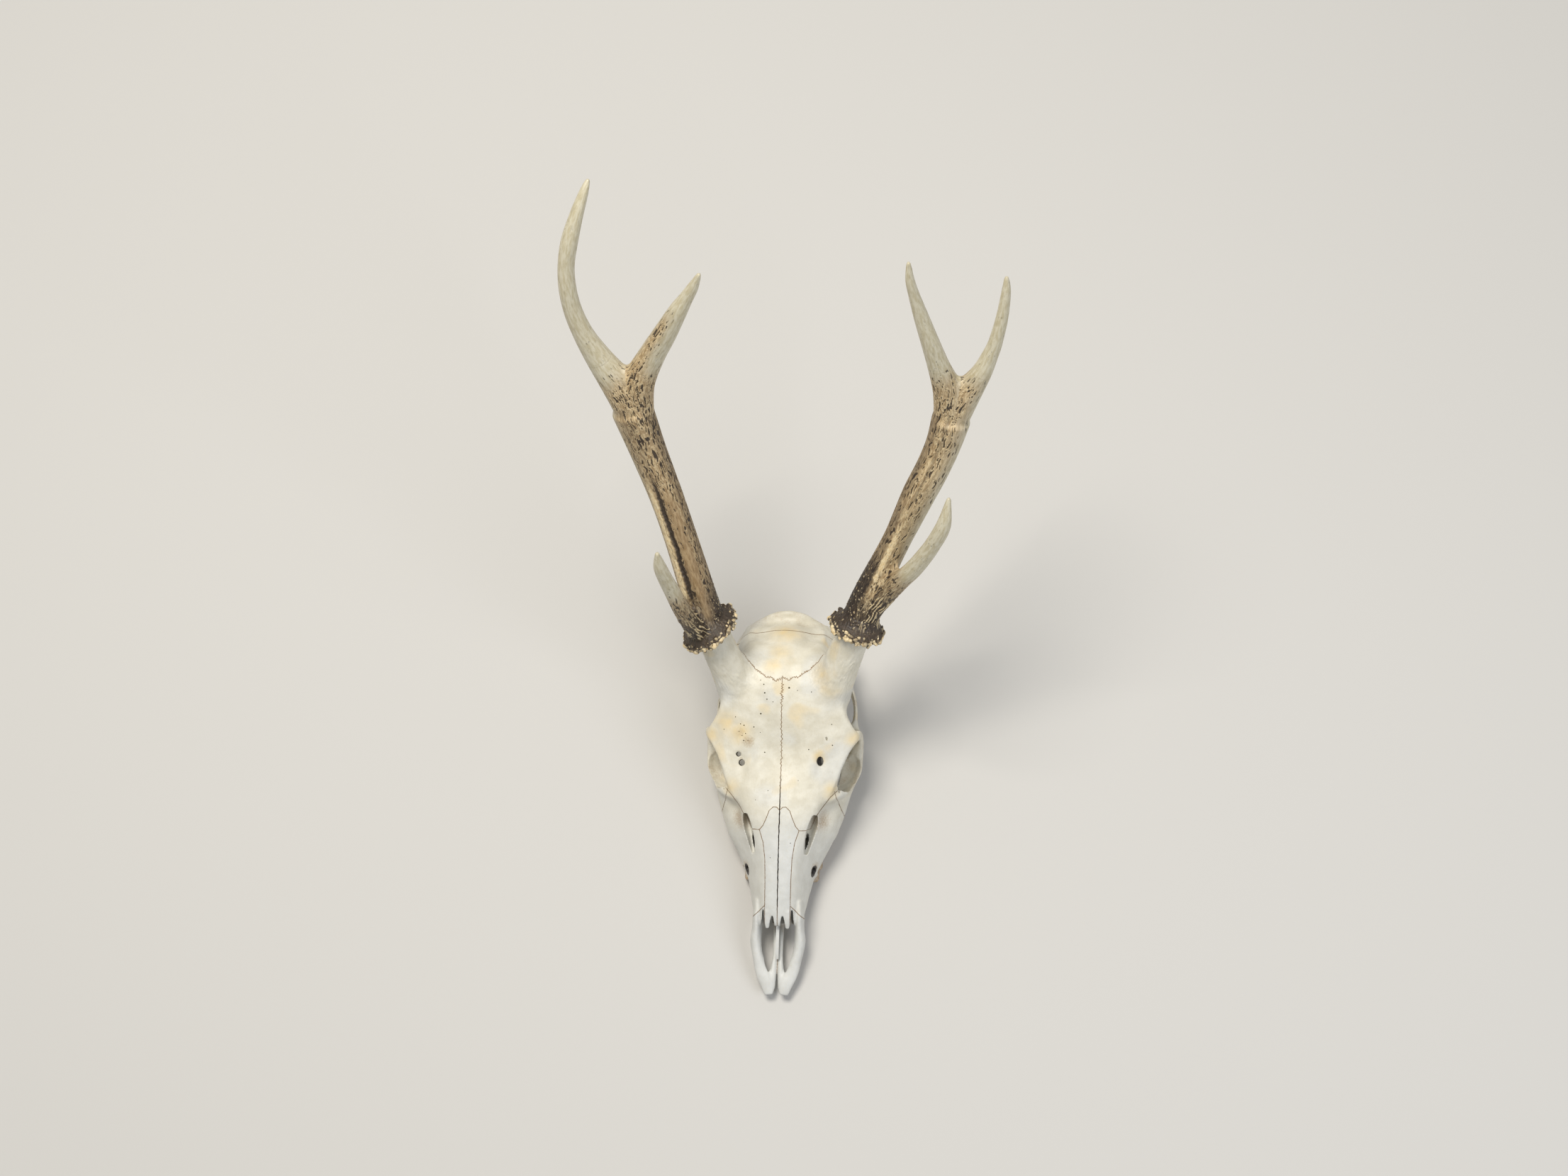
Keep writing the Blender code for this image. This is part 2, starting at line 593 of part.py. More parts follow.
BEAM = {
    -1: [(-52.2, 268, 27, 13.4), (-59.8, 293.6, 42, 12.8), (-70.3, 330.7, 66, 12),
         (-80, 361.7, 86, 12.1), (-91.1, 392.5, 108, 13), (-100.7, 420.8, 132, 14.9)],
    1: [(54.4, 271.5, 27, 12.8), (61.5, 292.7, 40, 11.8), (81.3, 331.7, 66, 10.3),
         (90, 349.5, 80, 10.9), (98.5, 367.2, 94, 11.9), (107.9, 384.8, 108, 12.1),
         (115.3, 401.6, 120, 12.5), (120.6, 418.7, 133, 13.8)],
}
TOP = {
    -1: [(-95.7, 407.8, 121, 11.3), (-105.8, 431.7, 142, 12.5), (-120.3, 452.7, 163, 9.4),
         (-128.9, 467.1, 179, 7.4), (-134.5, 481.5, 194, 6.6), (-136.8, 495.8, 208, 6.2),
         (-136.3, 510.2, 220, 5.9), (-132.9, 524.6, 231, 6), (-127.7, 539.4, 241, 4.9),
         (-122, 553.8, 249, 3.5), (-118.3, 563.1, 253, 1.7)],
    1: [(118.1, 410.2, 126, 10.5), (129.8, 433.3, 145, 10.2), (140.5, 448.4, 161, 7.3),
         (146.2, 459.6, 172, 5.8), (149.5, 467.6, 180, 5.1), (153.6, 483.4, 195, 4.4),
         (155.8, 499, 210, 3.4), (155.8, 508.1, 218.8, 1.7)],
}
INNER = {
    -1: [(-96.1, 415.8, 128, 10.7), (-94.5, 436.8, 148, 11.3), (-83.9, 454.8, 166, 9.4),
         (-73.8, 468, 182, 8.3), (-63.1, 482.4, 200, 6.6), (-57.1, 490, 209, 5.1),
         (-51.5, 497, 218, 4), (-46.2, 504.9, 229, 1.7)],
    1: [(118.4, 413.2, 128, 10.3), (117.8, 435.3, 148, 10.2), (111.5, 451.9, 168, 7.8),
         (105.9, 466.1, 186, 6.5), (99.9, 481.5, 204, 5.3), (95.1, 494.7, 220, 4),
         (92.5, 503.7, 231, 3.3), (91.7, 513.9, 241.9, 1.7)],
}
BROW_TINE = {
    -1: [(-54.3, 262.6, 28, 8.6), (-58.9, 266.1, 40, 7.2), (-64.2, 272.5, 54, 6.6),
         (-69.3, 283.2, 72, 6.3), (-73.8, 294.7, 90, 5.9), (-77.2, 303.5, 106, 5.4),
         (-79.7, 311.8, 120, 4.7), (-80.4, 321.1, 133.1, 1.7)],
    1: [(57.4, 273, 30, 9.2), (65.1, 284.1, 40, 7.8), (76.3, 296.6, 54, 7.2),
         (86.9, 306.9, 70, 6.8), (95.6, 314.6, 84, 6.6), (103.1, 323.2, 98, 6.3),
         (109.3, 331.5, 110, 5.9), (117, 345.1, 127, 5.4), (120.5, 363.8, 141.6, 1.7)],
}


def antler_axis(side):
    """Square to the burr, which sits aslant on the left beam."""
    return Vector(BURR_AXIS[side]).normalized()


def coronet(side, centre):
    """The burr: a flared disc edged with uneven pearls."""
    axis = antler_axis(side)
    centre = Vector(centre)
    first = axis.orthogonal().normalized()
    second = axis.cross(first)
    dice = random.Random(41 + side)
    radius = CORONET_RADIUS[side]
    pieces = [tube("burr_disc", [tuple(centre - axis * 2.6) + (radius - 3,),
                                 tuple(centre) + (radius,),
                                 tuple(centre + axis * 3.2) + (radius - 2.4,),
                                 tuple(centre + axis * 8) + (14.6,),
                                 tuple(centre + axis * 13) + (12.6,)], sides=28)]
    count = 25
    for k in range(count):
        a = 2 * math.pi * (k + 0.7 * dice.random()) / count
        size = dice.uniform(1.9, 3.3)
        reach = radius + dice.uniform(-1.0, 1.8) - 0.3 * size
        lift = dice.uniform(-1.8, 2.6)
        spot = centre + axis * lift + (first * math.cos(a) + second * math.sin(a)) * reach
        pieces.append(ball("pearl", spot, (size, size, size), segments=12))
    return pieces


def flute(obj, side):
    """Long shallow grooves along the beam, deepest low down and on the inner face."""
    mesh = obj.data
    rows = smooth_path(BEAM[side], 6)
    line = np.array([r[:3] for r in rows])
    tangent = np.gradient(line, axis=0)
    tangent /= np.linalg.norm(tangent, axis=1)[:, None]
    normals = np.empty(len(mesh.vertices) * 3)
    co = np.empty(len(mesh.vertices) * 3)
    mesh.vertices.foreach_get("co", co)
    mesh.vertices.foreach_get("normal", normals)
    co = co.reshape(-1, 3) / MM
    normals = normals.reshape(-1, 3)
    near = ((co[:, None, :] - line[None]) ** 2).sum(2).argmin(1)
    away = co - line[near]
    up = np.array((0.0, -0.55, 0.83))
    across = np.cross(tangent[near], up)
    angle = np.arctan2((away * up).sum(1), (away * across).sum(1))
    along = near / len(line)
    wave = np.cos(7 * angle + 2.4 * np.sin(3 * along * math.pi) + side)
    wave += 0.6 * np.cos(12 * angle - 4 * along + 1.3)
    fade = np.clip((0.98 - along) * 4, 0, 1) * np.clip((along - 0.02) * 12, 0, 1)
    co += normals * (wave * fade * 0.38)[:, None]
    mesh.vertices.foreach_set("co", (co * MM).ravel())
    mesh.update()
    return obj


def antler_body(side):
    name = "antler_left" if side < 0 else "antler_right"
    centre = CORONET_LEFT if side < 0 else CORONET_RIGHT
    stem = join(name, [tube("beam", BEAM[side]), tube("top", TOP[side]),
                       tube("inner", INNER[side]), tube("brow", BROW_TINE[side])])
    filleted(stem, ANTLER_FILLET, ANTLER_VOXEL)
    flute(stem, side)
    whole = join(name, [stem] + coronet(side, centre))
    remesh(whole, ANTLER_VOXEL)
    foot = Vector(centre) - antler_axis(side) * 3
    block = tube("foot", [tuple(foot - antler_axis(side) * 20) + (40,),
                          tuple(foot) + (40,)], sides=24)
    carve(whole, [block])
    return thin_out(largest(whole), ANTLER_TRIANGLES)


def disc(name, centre, axis, radius):
    """A round kerf square to an axis."""
    axis = Vector(axis).normalized()
    first = axis.orthogonal().normalized()
    second = axis.cross(first)
    centre = Vector(centre)
    return plate(name, [centre + (first * math.cos(a) + second * math.sin(a)) * radius
                        for a in (2 * math.pi * k / 20 for k in range(20))])


def between(rows, t):
    """Point and direction at index t along a path."""
    i = min(int(t), len(rows) - 2)
    a, b = Vector(rows[i][:3]), Vector(rows[i + 1][:3])
    return a.lerp(b, t - i), (b - a).normalized()


def antler_kerfs(side):
    centre = Vector(CORONET_LEFT if side < 0 else CORONET_RIGHT)
    axis = antler_axis(side)
    out = [disc("burr_kerf", centre + axis * 6.6, axis, 34)]
    spot, along = between(BROW_TINE[side], 2.6 if side < 0 else 3.2)
    out.append(disc("brow_kerf", spot, along, 11))
    for rows, radius in ((TOP[side], 13), (INNER[side], 12)):
        spot, along = between(rows, 2.0)
        out.append(disc("fork_kerf", spot, along, radius))
    return out


# Where one bone ends and the next begins

def mirrored(line):
    return [(-x, y, z) for x, y, z in line]


def skull_kerfs():
    out = []
    upper, lower = [], []
    for side, back in ((-1, 261.5), (1, 265)):
        teeth = zigzag([(0, 234.4, 0), (5, 232.6, 0), (10, 236.4, 0), (15, 239.6, 0),
                        (20, 244.6, 0), (25, 249, 0)], 2.4, 1.5, 6 + side)
        line = teeth + [Vector((30, back - 4, 0)), Vector((36, back, 0)), Vector((66, back, 0))]
        high, low = [], []
        for p in line:
            rise = min(1.0, max(0.0, (p.x - 18) / 14))
            high.append((side * p.x, p.y, 15 * (1 - rise) + 5 * rise))
            low.append((side * p.x, back - 36.5, -24.0))
        upper = high[:0:-1] + upper if side < 0 else upper + high
        lower = low[:0:-1] + lower if side < 0 else lower + low
    out.append(sheet("coronal", lower, upper))

    front = [(0, 136), (2.2, 138.2), (4.6, 138.4), (7.6, 135.6), (9.6, 130), (12, 124.4),
             (14.6, 121.2), (22, 121.4)]
    rear = [(25, 129), (29, 135.6), (36.5, 146), (44, 153), (66, 158)]
    edge = front + rear
    top = [(x, y, 9.0) for x, y in edge]
    low = [(x, y, -24.0) for x, y in edge]
    out.append(sheet("frontal_front", mirrored(low[:0:-1]) + low, mirrored(top[:0:-1]) + top))
    floor = [(x, y, -24.0) for x, y in edge] + [(66, 229.5, -24.0), (1, 229.5, -24.0)]
    out.append(plate("frontal_floor", floor + mirrored(floor)[::-1][:-1]))

    nasal = [(9.4, 40), (9.4, 60), (9.5, 84), (10, 100), (11.6, 112), (14.6, 121.2)]
    for flip in (1, -1):
        out.append(sheet("nasal_side", [(flip * x, y, -8.4 if y > 70 else -15) for x, y in nasal],
                         [(flip * x, y, 6) for x, y in nasal]))
    shelf = [(x, y, -7.0) for x, y in front[:-1]]
    shelf = shelf + [(14.6, 116, -7.0), (0, 116, -7.0)]
    out.append(plate("nasal_shelf", shelf))
    out.append(plate("nasal_shelf", mirrored(shelf)))

    mid = [(-6, -60), (60, -60), (152, -84), (152.2, -24), (229.4, -24), (236.5, 16)]
    mid_top = [(-6, 16), (60, 16), (152, 16), (152.2, 16), (229.4, 16), (236.5, 16.2)]
    out.append(sheet("midline", [(0, y, z) for y, z in mid], [(0, y, z) for y, z in mid_top]))

    premax = [(9.4, 66.4), (12.4, 63.6), (16, 60), (23, 54.6)]
    for flip in (1, -1):
        out.append(sheet("premaxilla_back", [(flip * x, y - 6, -50) for x, y in premax],
                         [(flip * x, y, 4) for x, y in premax]))
        out.append(sheet("palate_front", [(flip * -0.4, 54.8, -50), (flip * 10, 60.8, -50)],
                         [(flip * -0.4, 57.8, -24), (flip * 10, 63.6, -24)]))
    out.append(sheet("maxilla_back", [(-39.2, 152, -90), (39.2, 152, -90)],
                     [(-39.2, 152, -23.8), (39.2, 152, -23.8)]))
    cheek = [(33, 170), (38.9, 152), (42, 141), (45.6, 131), (50, 121)]
    for flip in (1, -1):
        out.append(sheet("cheek_low", [(flip * x, y, -72) for x, y in cheek],
                         [(flip * x, y, -24) for x, y in cheek]))
        brim = [(39.4, 150.2)] + cheek[2:]
        out.append(sheet("cheek_high", [(flip * x, y, -24.4) for x, y in brim],
                         [(flip * x, y, -2) for x, y in brim]))
        out.append(sheet("arch", [(flip * 40, 207, -70), (flip * 64, 207, -70)],
                         [(flip * 40, 222, -44), (flip * 64, 222, -44)]))
    out.append(sheet("occipital", [(-60, 238, -104), (60, 238, -104)],
                     [(-60, 272, -12), (60, 272, -12)]))
    return out


# Nodes

BONE = {"color": (0.71, 0.67, 0.57, 1.0), "rough": 0.62}
NASAL_BONE = {"color": (0.66, 0.66, 0.62, 1.0), "rough": 0.58}
DARK_HORN = {"color": (0.11, 0.085, 0.06, 1.0), "rough": 0.7}
HORN = {"color": (0.34, 0.25, 0.15, 1.0), "rough": 0.6}
PALE_HORN = {"color": (0.60, 0.55, 0.43, 1.0), "rough": 0.45}

SKULL_NODES = {
    "nasal_left": ((-5, 92, -1), NASAL_BONE),
    "nasal_right": ((5, 92, -1), NASAL_BONE),
    "premaxilla_left": ((-15.5, 38, -17), NASAL_BONE),
    "premaxilla_right": ((15.5, 38, -17), NASAL_BONE),
    "maxilla_left": ((-23, 90, -40), BONE),
    "maxilla_right": ((23, 90, -40), BONE),
    "zygomatic_left": ((-54, 160, -45), BONE),
    "zygomatic_right": ((54, 160, -45), BONE),
    "frontal_left": ((-20, 200, -2), BONE),
    "frontal_right": ((20, 200, -2), BONE),
    "braincase": ((0, 225, -50), BONE),
    "occipital": ((0, 264, -76), BONE),
}


def material(name, look):
    mat = bpy.data.materials.new(name)
    mat.use_nodes = True
    shader = mat.node_tree.nodes["Principled BSDF"]
    shader.inputs["Base Color"].default_value = look["color"]
    shader.inputs["Roughness"].default_value = look["rough"]
    mat.diffuse_color = look["color"]
    return mat


def node(name, points, faces, look):
    mesh = bpy.data.meshes.new(name)
    mesh.from_pydata(points.tolist(), [], faces.tolist())
    mesh.update()
    mesh.materials.append(material("mat_" + name, look))
    obj = bpy.data.objects.new(name, mesh)
    PARTS.objects.link(obj)
    return obj


def winding(points, faces, spot):
    """How often a closed surface wraps round a spot: 1 inside, 0 outside."""
    a, b, c = (points[faces[:, k]] - spot for k in range(3))
    la, lb, lc = (np.linalg.norm(v, axis=1) for v in (a, b, c))
    above = np.einsum("ij,ij->i", a, np.cross(b, c))
    below = (la * lb * lc + np.einsum("ij,ij->i", a, b) * lc
             + np.einsum("ij,ij->i", b, c) * la + np.einsum("ij,ij->i", c, a) * lb)
    return np.arctan2(above, below).sum() / (2 * math.pi)


def share_out(body, wanted):
    """Makes a node of the closed surface that holds each wanted spot."""
    parts = [part for part in islands(body) if part[2] > 2e-8]
    made = []
    for name, (spot, look) in wanted.items():
        spot = np.array(spot) * MM
        best = max(parts, key=lambda part: winding(part[0], part[1], spot))
        made.append(node(name, best[0], best[1], look))
    bpy.data.objects.remove(body, do_unlink=True)
    return made


def vomer():
    """The thin upright plate in the nasal cavity, clear of the floor by a kerf."""
    outline = [(25, -15), (36, -18.6), (46, -22.4), (53, -26.4), (60, -30.2), (66, -32.4),
               (84, -36.2), (104, -38.6), (104, -16), (84, -13.6), (62, -13), (44, -13.4),
               (30, -12.6)]
    points = [(x, y, z) for x in (-1.1, 1.1) for y, z in outline]
    count = len(outline)
    faces = [tuple(range(count))[::-1], tuple(range(count, 2 * count))]
    faces += [(i, (i + 1) % count, count + (i + 1) % count, count + i) for i in range(count)]
    return outward(mesh_object("vomer_plate", points, faces))


nodes = []

skull = filleted(join("skull", broad_masses()), BROAD_FILLET, SKULL_VOXEL)
skull = filleted(join("skull", [skull] + fine_masses()), FILLET, SKULL_VOXEL)
push(skull, STROKES)
extras = [skull]
extras += both(tube, "orbit_floor", ORBIT_FLOOR)
extras += both(tube, "nasal_prong", NASAL_PRONG)
extras += both(tube, "premaxilla", PREMAXILLA)
extras += both(tube, "palate_prong", PALATE_PRONG)
for row in TEETH:
    extras += both(tooth, "tooth", *row)
skull = remesh(join("skull", extras), SKULL_VOXEL)
carve(skull, skull_cutters())
soften(remesh(skull, SKULL_VOXEL), 0.4, 1)
skull = thin_out(largest(skull), SKULL_TRIANGLES)
carve(skull, above_pedicles() + [ground_block()])
carve(skull, skull_kerfs())
nodes += share_out(skull, SKULL_NODES)

plank = vomer()
nodes += share_out(plank, {"vomer": ((0, 60, -25), NASAL_BONE)})

for side, word in ((-1, "left"), (1, "right")):
    body = antler_body(side)
    carve(body, antler_kerfs(side))
    centre = Vector(CORONET_LEFT if side < 0 else CORONET_RIGHT)
    nodes += share_out(body, {
        "burr_" + word: (tuple(centre), DARK_HORN),
        "beam_" + word: (BEAM[side][2][:3], HORN),
        "brow_tine_" + word: (BROW_TINE[side][4][:3], PALE_HORN),
        "inner_tine_" + word: (INNER[side][4][:3], PALE_HORN),
        "beam_top_" + word: (TOP[side][5][:3], PALE_HORN),
    })

turn = Matrix.Rotation(REST_TILT, 4, "X")
for obj in nodes:
    obj.data.transform(turn)
low = np.min([np.min([v.co[:] for v in obj.data.vertices], axis=0) for obj in nodes], axis=0)
high = np.max([np.max([v.co[:] for v in obj.data.vertices], axis=0) for obj in nodes], axis=0)
shift = Matrix.Translation((-(low[0] + high[0]) / 2, -(low[1] + high[1]) / 2, -low[2]))
for obj in nodes:
    obj.data.transform(shift)
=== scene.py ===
# %% [markdown]
# # A sika deer skull
#
# This lesson builds a life-size museum model of a young sika stag's skull with its antlers.
# The skull lies on a pale floor on its molars and its occipital condyles, and the camera
# looks down on it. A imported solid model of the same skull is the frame: it gives the size
# and the place, and every finer piece made here stands for one or more of its nodes.

# %% Load the frame
import itertools
import json
import math
import random
import time

import bmesh
import bpy
import numpy as np
from mathutils import Matrix, Vector
from mathutils.bvhtree import BVHTree
from mathutils.kdtree import KDTree

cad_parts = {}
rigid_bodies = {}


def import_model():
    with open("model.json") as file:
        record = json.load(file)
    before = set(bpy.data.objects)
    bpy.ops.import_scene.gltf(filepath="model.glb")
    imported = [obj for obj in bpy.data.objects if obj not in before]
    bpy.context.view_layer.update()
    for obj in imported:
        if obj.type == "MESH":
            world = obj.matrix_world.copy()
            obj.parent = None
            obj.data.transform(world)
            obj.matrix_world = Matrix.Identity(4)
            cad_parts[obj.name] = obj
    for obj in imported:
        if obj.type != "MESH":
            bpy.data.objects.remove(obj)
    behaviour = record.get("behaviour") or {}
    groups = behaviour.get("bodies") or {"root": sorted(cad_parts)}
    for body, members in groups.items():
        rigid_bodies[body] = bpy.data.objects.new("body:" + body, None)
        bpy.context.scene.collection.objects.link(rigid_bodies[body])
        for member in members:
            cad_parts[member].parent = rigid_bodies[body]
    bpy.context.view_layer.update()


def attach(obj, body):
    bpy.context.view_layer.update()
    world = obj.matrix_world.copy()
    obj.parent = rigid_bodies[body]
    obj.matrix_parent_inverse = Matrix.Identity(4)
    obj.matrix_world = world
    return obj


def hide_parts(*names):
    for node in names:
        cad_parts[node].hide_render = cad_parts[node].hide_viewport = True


started = time.perf_counter()
for old in list(bpy.data.objects):
    bpy.data.objects.remove(old, do_unlink=True)
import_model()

# %% [markdown]
# ## Sizes
#
# All shapes are drawn in a face frame in millimetres: x across the face, y from the tip of
# the premaxillae towards the antlers, z out of the forehead. At the end everything turns by
# the rest tilt and moves onto the floor. The coarse voxels shape the masses, and the fine
# ones carry the surface: about half a millimetre, which is what the photograph resolves.

# %% Sizes
MM = 0.001  # metres in a millimetre: every other length here is in mm
REST_TILT = math.radians(18.0)
COARSE_VOXEL = 1.25
SKULL_VOXEL = 0.62
ANTLER_VOXEL = 0.5
ANTLER_COARSE = 1.0
FILLET = 3.2
BROAD_FILLET = 8.0
ANTLER_FILLET = 2.4
KERF = 0.16
BASE_LEVEL = 52.0
BASE_START = 85.0
BASE_SLOPE = math.tan(REST_TILT)
ORBIT = (42.5, 167.0, -27.5)
ORBIT_RADIUS = 20.0
CORONET = {-1: (-52.2, 268, 27), 1: (54.4, 271.5, 27)}
CORONET_RADIUS = {-1: 22.0, 1: 20.5}
BURR_AXIS = {-1: (-0.5, 0.64, 0.58), 1: (0.3, 0.81, 0.5)}

print("voxels (mm):", COARSE_VOXEL, SKULL_VOXEL, ANTLER_COARSE, ANTLER_VOXEL)

# %% [markdown]
# ## Work objects
#
# The skull is fused from many simple solids that don't show in the end. They live in a
# collection of their own, hidden from the render. Each one is a closed surface facing out,
# because the later steps fuse and cut solids, and those fail on open or inverted skin.

# %% Work objects
HELPERS = bpy.data.collections.new("Work")
bpy.context.scene.collection.children.link(HELPERS)


def work_object(name, mesh):
    """A hidden object that the later steps fuse or cut."""
    obj = bpy.data.objects.new(name, mesh)
    HELPERS.objects.link(obj)
    obj.hide_render = True
    obj.display_type = "WIRE"
    return obj


def skin_of(name, points, faces):
    """A mesh over rows of points in metres."""
    mesh = bpy.data.meshes.new(name)
    mesh.from_pydata(points, [], faces)
    mesh.update()
    return mesh


def mesh_object(name, points, faces):
    """A work object over points in millimetres."""
    return work_object(name, skin_of(name, [tuple(float(v) * MM for v in p) for p in points], faces))


def outward(obj):
    """Turns the faces of a closed surface outwards."""
    work = bmesh.new()
    work.from_mesh(obj.data)
    bmesh.ops.recalc_face_normals(work, faces=work.faces)
    if work.calc_volume(signed=True) < 0:
        bmesh.ops.reverse_faces(work, faces=work.faces)
    work.to_mesh(obj.data)
    work.free()
    return obj


print("work objects go to the collection", HELPERS.name)

# %% [markdown]
# ## Shapes from points
#
# A bone changes its section slowly from end to end. The simplest way to such a form is a
# loft: rings of points at stations along a line, joined by faces. A smooth curve through
# the given stations keeps their number small.

# %% Lofts
def loft(name, rings):
    """A closed skin over equal rings of points, capped at both ends."""
    count = len(rings[0])
    points = [p for ring in rings for p in ring]
    faces = []
    for i in range(len(rings) - 1):
        for j in range(count):
            k = (j + 1) % count
            faces.append((i * count + j, i * count + k,
                          (i + 1) * count + k, (i + 1) * count + j))
    last = (len(rings) - 1) * count
    faces.append(tuple(range(count))[::-1])
    faces.append(tuple(range(last, last + count)))
    return outward(mesh_object(name, points, faces))


def curve_between(rows, t):
    """A Catmull-Rom point between the middle two of four rows."""
    a, b, c, d = rows
    return 0.5 * (2 * b + (c - a) * t + (2 * a - 5 * b + 4 * c - d) * t * t
                  + (3 * b - a - 3 * c + d) * t ** 3)


def smooth_path(points, steps):
    """Samples of a smooth curve through rows of numbers."""
    rows = [np.array(p, float) for p in points]
    rows = [2 * rows[0] - rows[1]] + rows + [2 * rows[-1] - rows[-2]]
    out = []
    for i in range(1, len(rows) - 2):
        out += [curve_between(rows[i - 1:i + 3], s / steps) for s in range(steps)]
    return out + [rows[-2]]


def section_loft(name, stations, steps=3, samples=5):
    """Stations are (y, half profile of (x, z) from the top midline to the bottom midline)."""
    rows = [np.array([y] + [v for p in half for v in p], float) for y, half in stations]
    rings = []
    for row in smooth_path(rows, steps):
        half = row[1:].reshape(-1, 2)
        full = np.vstack([half, (half * (-1, 1))[-2:0:-1]])
        loop = np.vstack([full[-1:], full, full[:2]])
        around = [curve_between(loop[i - 1:i + 3], s / samples)
                  for i in range(1, len(loop) - 2) for s in range(samples)]
        rings.append([(x, row[0], z) for x, z in around])
    return loft(name, rings)


print("lofts run through equal rings of points")

# %% [markdown]
# ## Tubes and balls
#
# Bars, arches and tines have round or oval sections, so a loft over a bent line makes them.
# Knobs such as the condyles are stretched balls. What is alike on both sides is made once
# and mirrored, as the skull itself grew.

# %% Tubes and balls
def tube(name, path, side=(1, 0, 0), steps=4, sides=16):
    """Path rows are (x, y, z, radius along `side`, radius square to it), or one radius for both."""
    rows = smooth_path([p if len(p) == 5 else tuple(p) + (p[3],) for p in path], steps)
    side = Vector(side)
    rings = []
    for i, row in enumerate(rows):
        ahead = rows[min(i + 1, len(rows) - 1)][:3] - rows[max(i - 1, 0)][:3]
        along = Vector(ahead).normalized()
        across = (side - along * side.dot(along)).normalized()
        up = along.cross(across)
        centre = Vector(row[:3])
        rings.append([centre + across * (max(row[3], 0.2) * math.cos(a))
                      + up * (max(row[4], 0.2) * math.sin(a))
                      for a in (2 * math.pi * k / sides for k in range(sides))])
    return loft(name, rings)


def ball(name, centre, radii, turn=(0, 0, 0)):
    """A ball with three radii, turned about x, then y, then z."""
    work = bmesh.new()
    bmesh.ops.create_uvsphere(work, u_segments=24, v_segments=12, radius=1)
    spin = (Matrix.Rotation(turn[2], 3, "Z") @ Matrix.Rotation(turn[1], 3, "Y")
            @ Matrix.Rotation(turn[0], 3, "X"))
    for v in work.verts:
        v.co = (spin @ Vector(c * r for c, r in zip(v.co, radii)) + Vector(centre)) * MM
    mesh = bpy.data.meshes.new(name)
    work.to_mesh(mesh)
    work.free()
    return work_object(name, mesh)


def both(make, name, *data, **more):
    """The same mass on the right (+x) and, mirrored, on the left."""
    right = make(name + "_right", *data, **more)
    left = right.copy()
    left.data = right.data.copy()
    left.name = name + "_left"
    HELPERS.objects.link(left)
    left.data.transform(Matrix.Diagonal((-1, 1, 1, 1)))
    return [right, outward(left)]


print("tubes, balls and mirrored pairs are ready")

# %% [markdown]
# ## Clay tools
#
# A skull has few flat or round faces, so it is modelled like clay: a voxel remesh fuses the
# simple masses into one skin. Growing the skin and shrinking it again fills the inside
# corners with a soft fillet, as bone grows round its joints.

# %% Join and apply
def join(name, lumps):
    """One work object out of several, which are removed."""
    work = bmesh.new()
    for lump in lumps:
        work.from_mesh(lump.data)
    mesh = bpy.data.meshes.new(name)
    work.to_mesh(mesh)
    work.free()
    for lump in lumps:
        bpy.data.objects.remove(lump, do_unlink=True)
    return work_object(name, mesh)


def change_skin(obj, mesh):
    """Gives an object a new mesh and drops the old one."""
    old = obj.data
    obj.data = mesh
    bpy.data.meshes.remove(old)
    return obj


def settle(obj, kind, **settings):
    """Applies one modifier, with its settings, to the object's mesh."""
    mod = obj.modifiers.new(kind, kind)
    for key, value in settings.items():
        setattr(mod, key, value)
    graph = bpy.context.evaluated_depsgraph_get()
    graph.update()
    mesh = bpy.data.meshes.new_from_object(obj.evaluated_get(graph))
    obj.modifiers.clear()
    return change_skin(obj, mesh)


def remesh(obj, voxel):
    return settle(obj, "REMESH", mode="VOXEL", voxel_size=voxel * MM)


def swell(obj, amount):
    return settle(obj, "DISPLACE", mid_level=0.0, strength=amount * MM)


def soften(obj, rounds):
    return settle(obj, "SMOOTH", factor=0.5, iterations=rounds)


def finer(obj, voxel, rounds):
    """A finer skin over a coarse one, smoothed until the coarse facets are gone."""
    remesh(obj, voxel)
    return soften(obj, rounds)


def filleted(obj, radius, voxel):
    """Grown and shrunk again, which fills its inside corners."""
    remesh(obj, voxel)
    swell(obj, radius)
    remesh(obj, voxel)
    swell(obj, -radius)
    return finer(obj, voxel, 3)


print("clay tools: join, remesh, swell, soften and fillet")

# %% [markdown]
# ## Cutting tools
#
# Holes are cut with the manifold Boolean, which is fast on dense skins. A cut can leave
# loose crumbs, so the connected surfaces are found and only the wanted ones are kept.

# %% Cut and sort
def carve(obj, cutters):
    """Subtracts every cutter, then removes the cutters."""
    group = bpy.data.collections.new("cut")
    HELPERS.children.link(group)
    for cutter in cutters:
        group.objects.link(cutter)
        outward(cutter)
    settle(obj, "BOOLEAN", operation="DIFFERENCE", operand_type="COLLECTION", collection=group,
           solver="MANIFOLD")
    for cutter in cutters:
        bpy.data.objects.remove(cutter, do_unlink=True)
    bpy.data.collections.remove(group)
    return obj


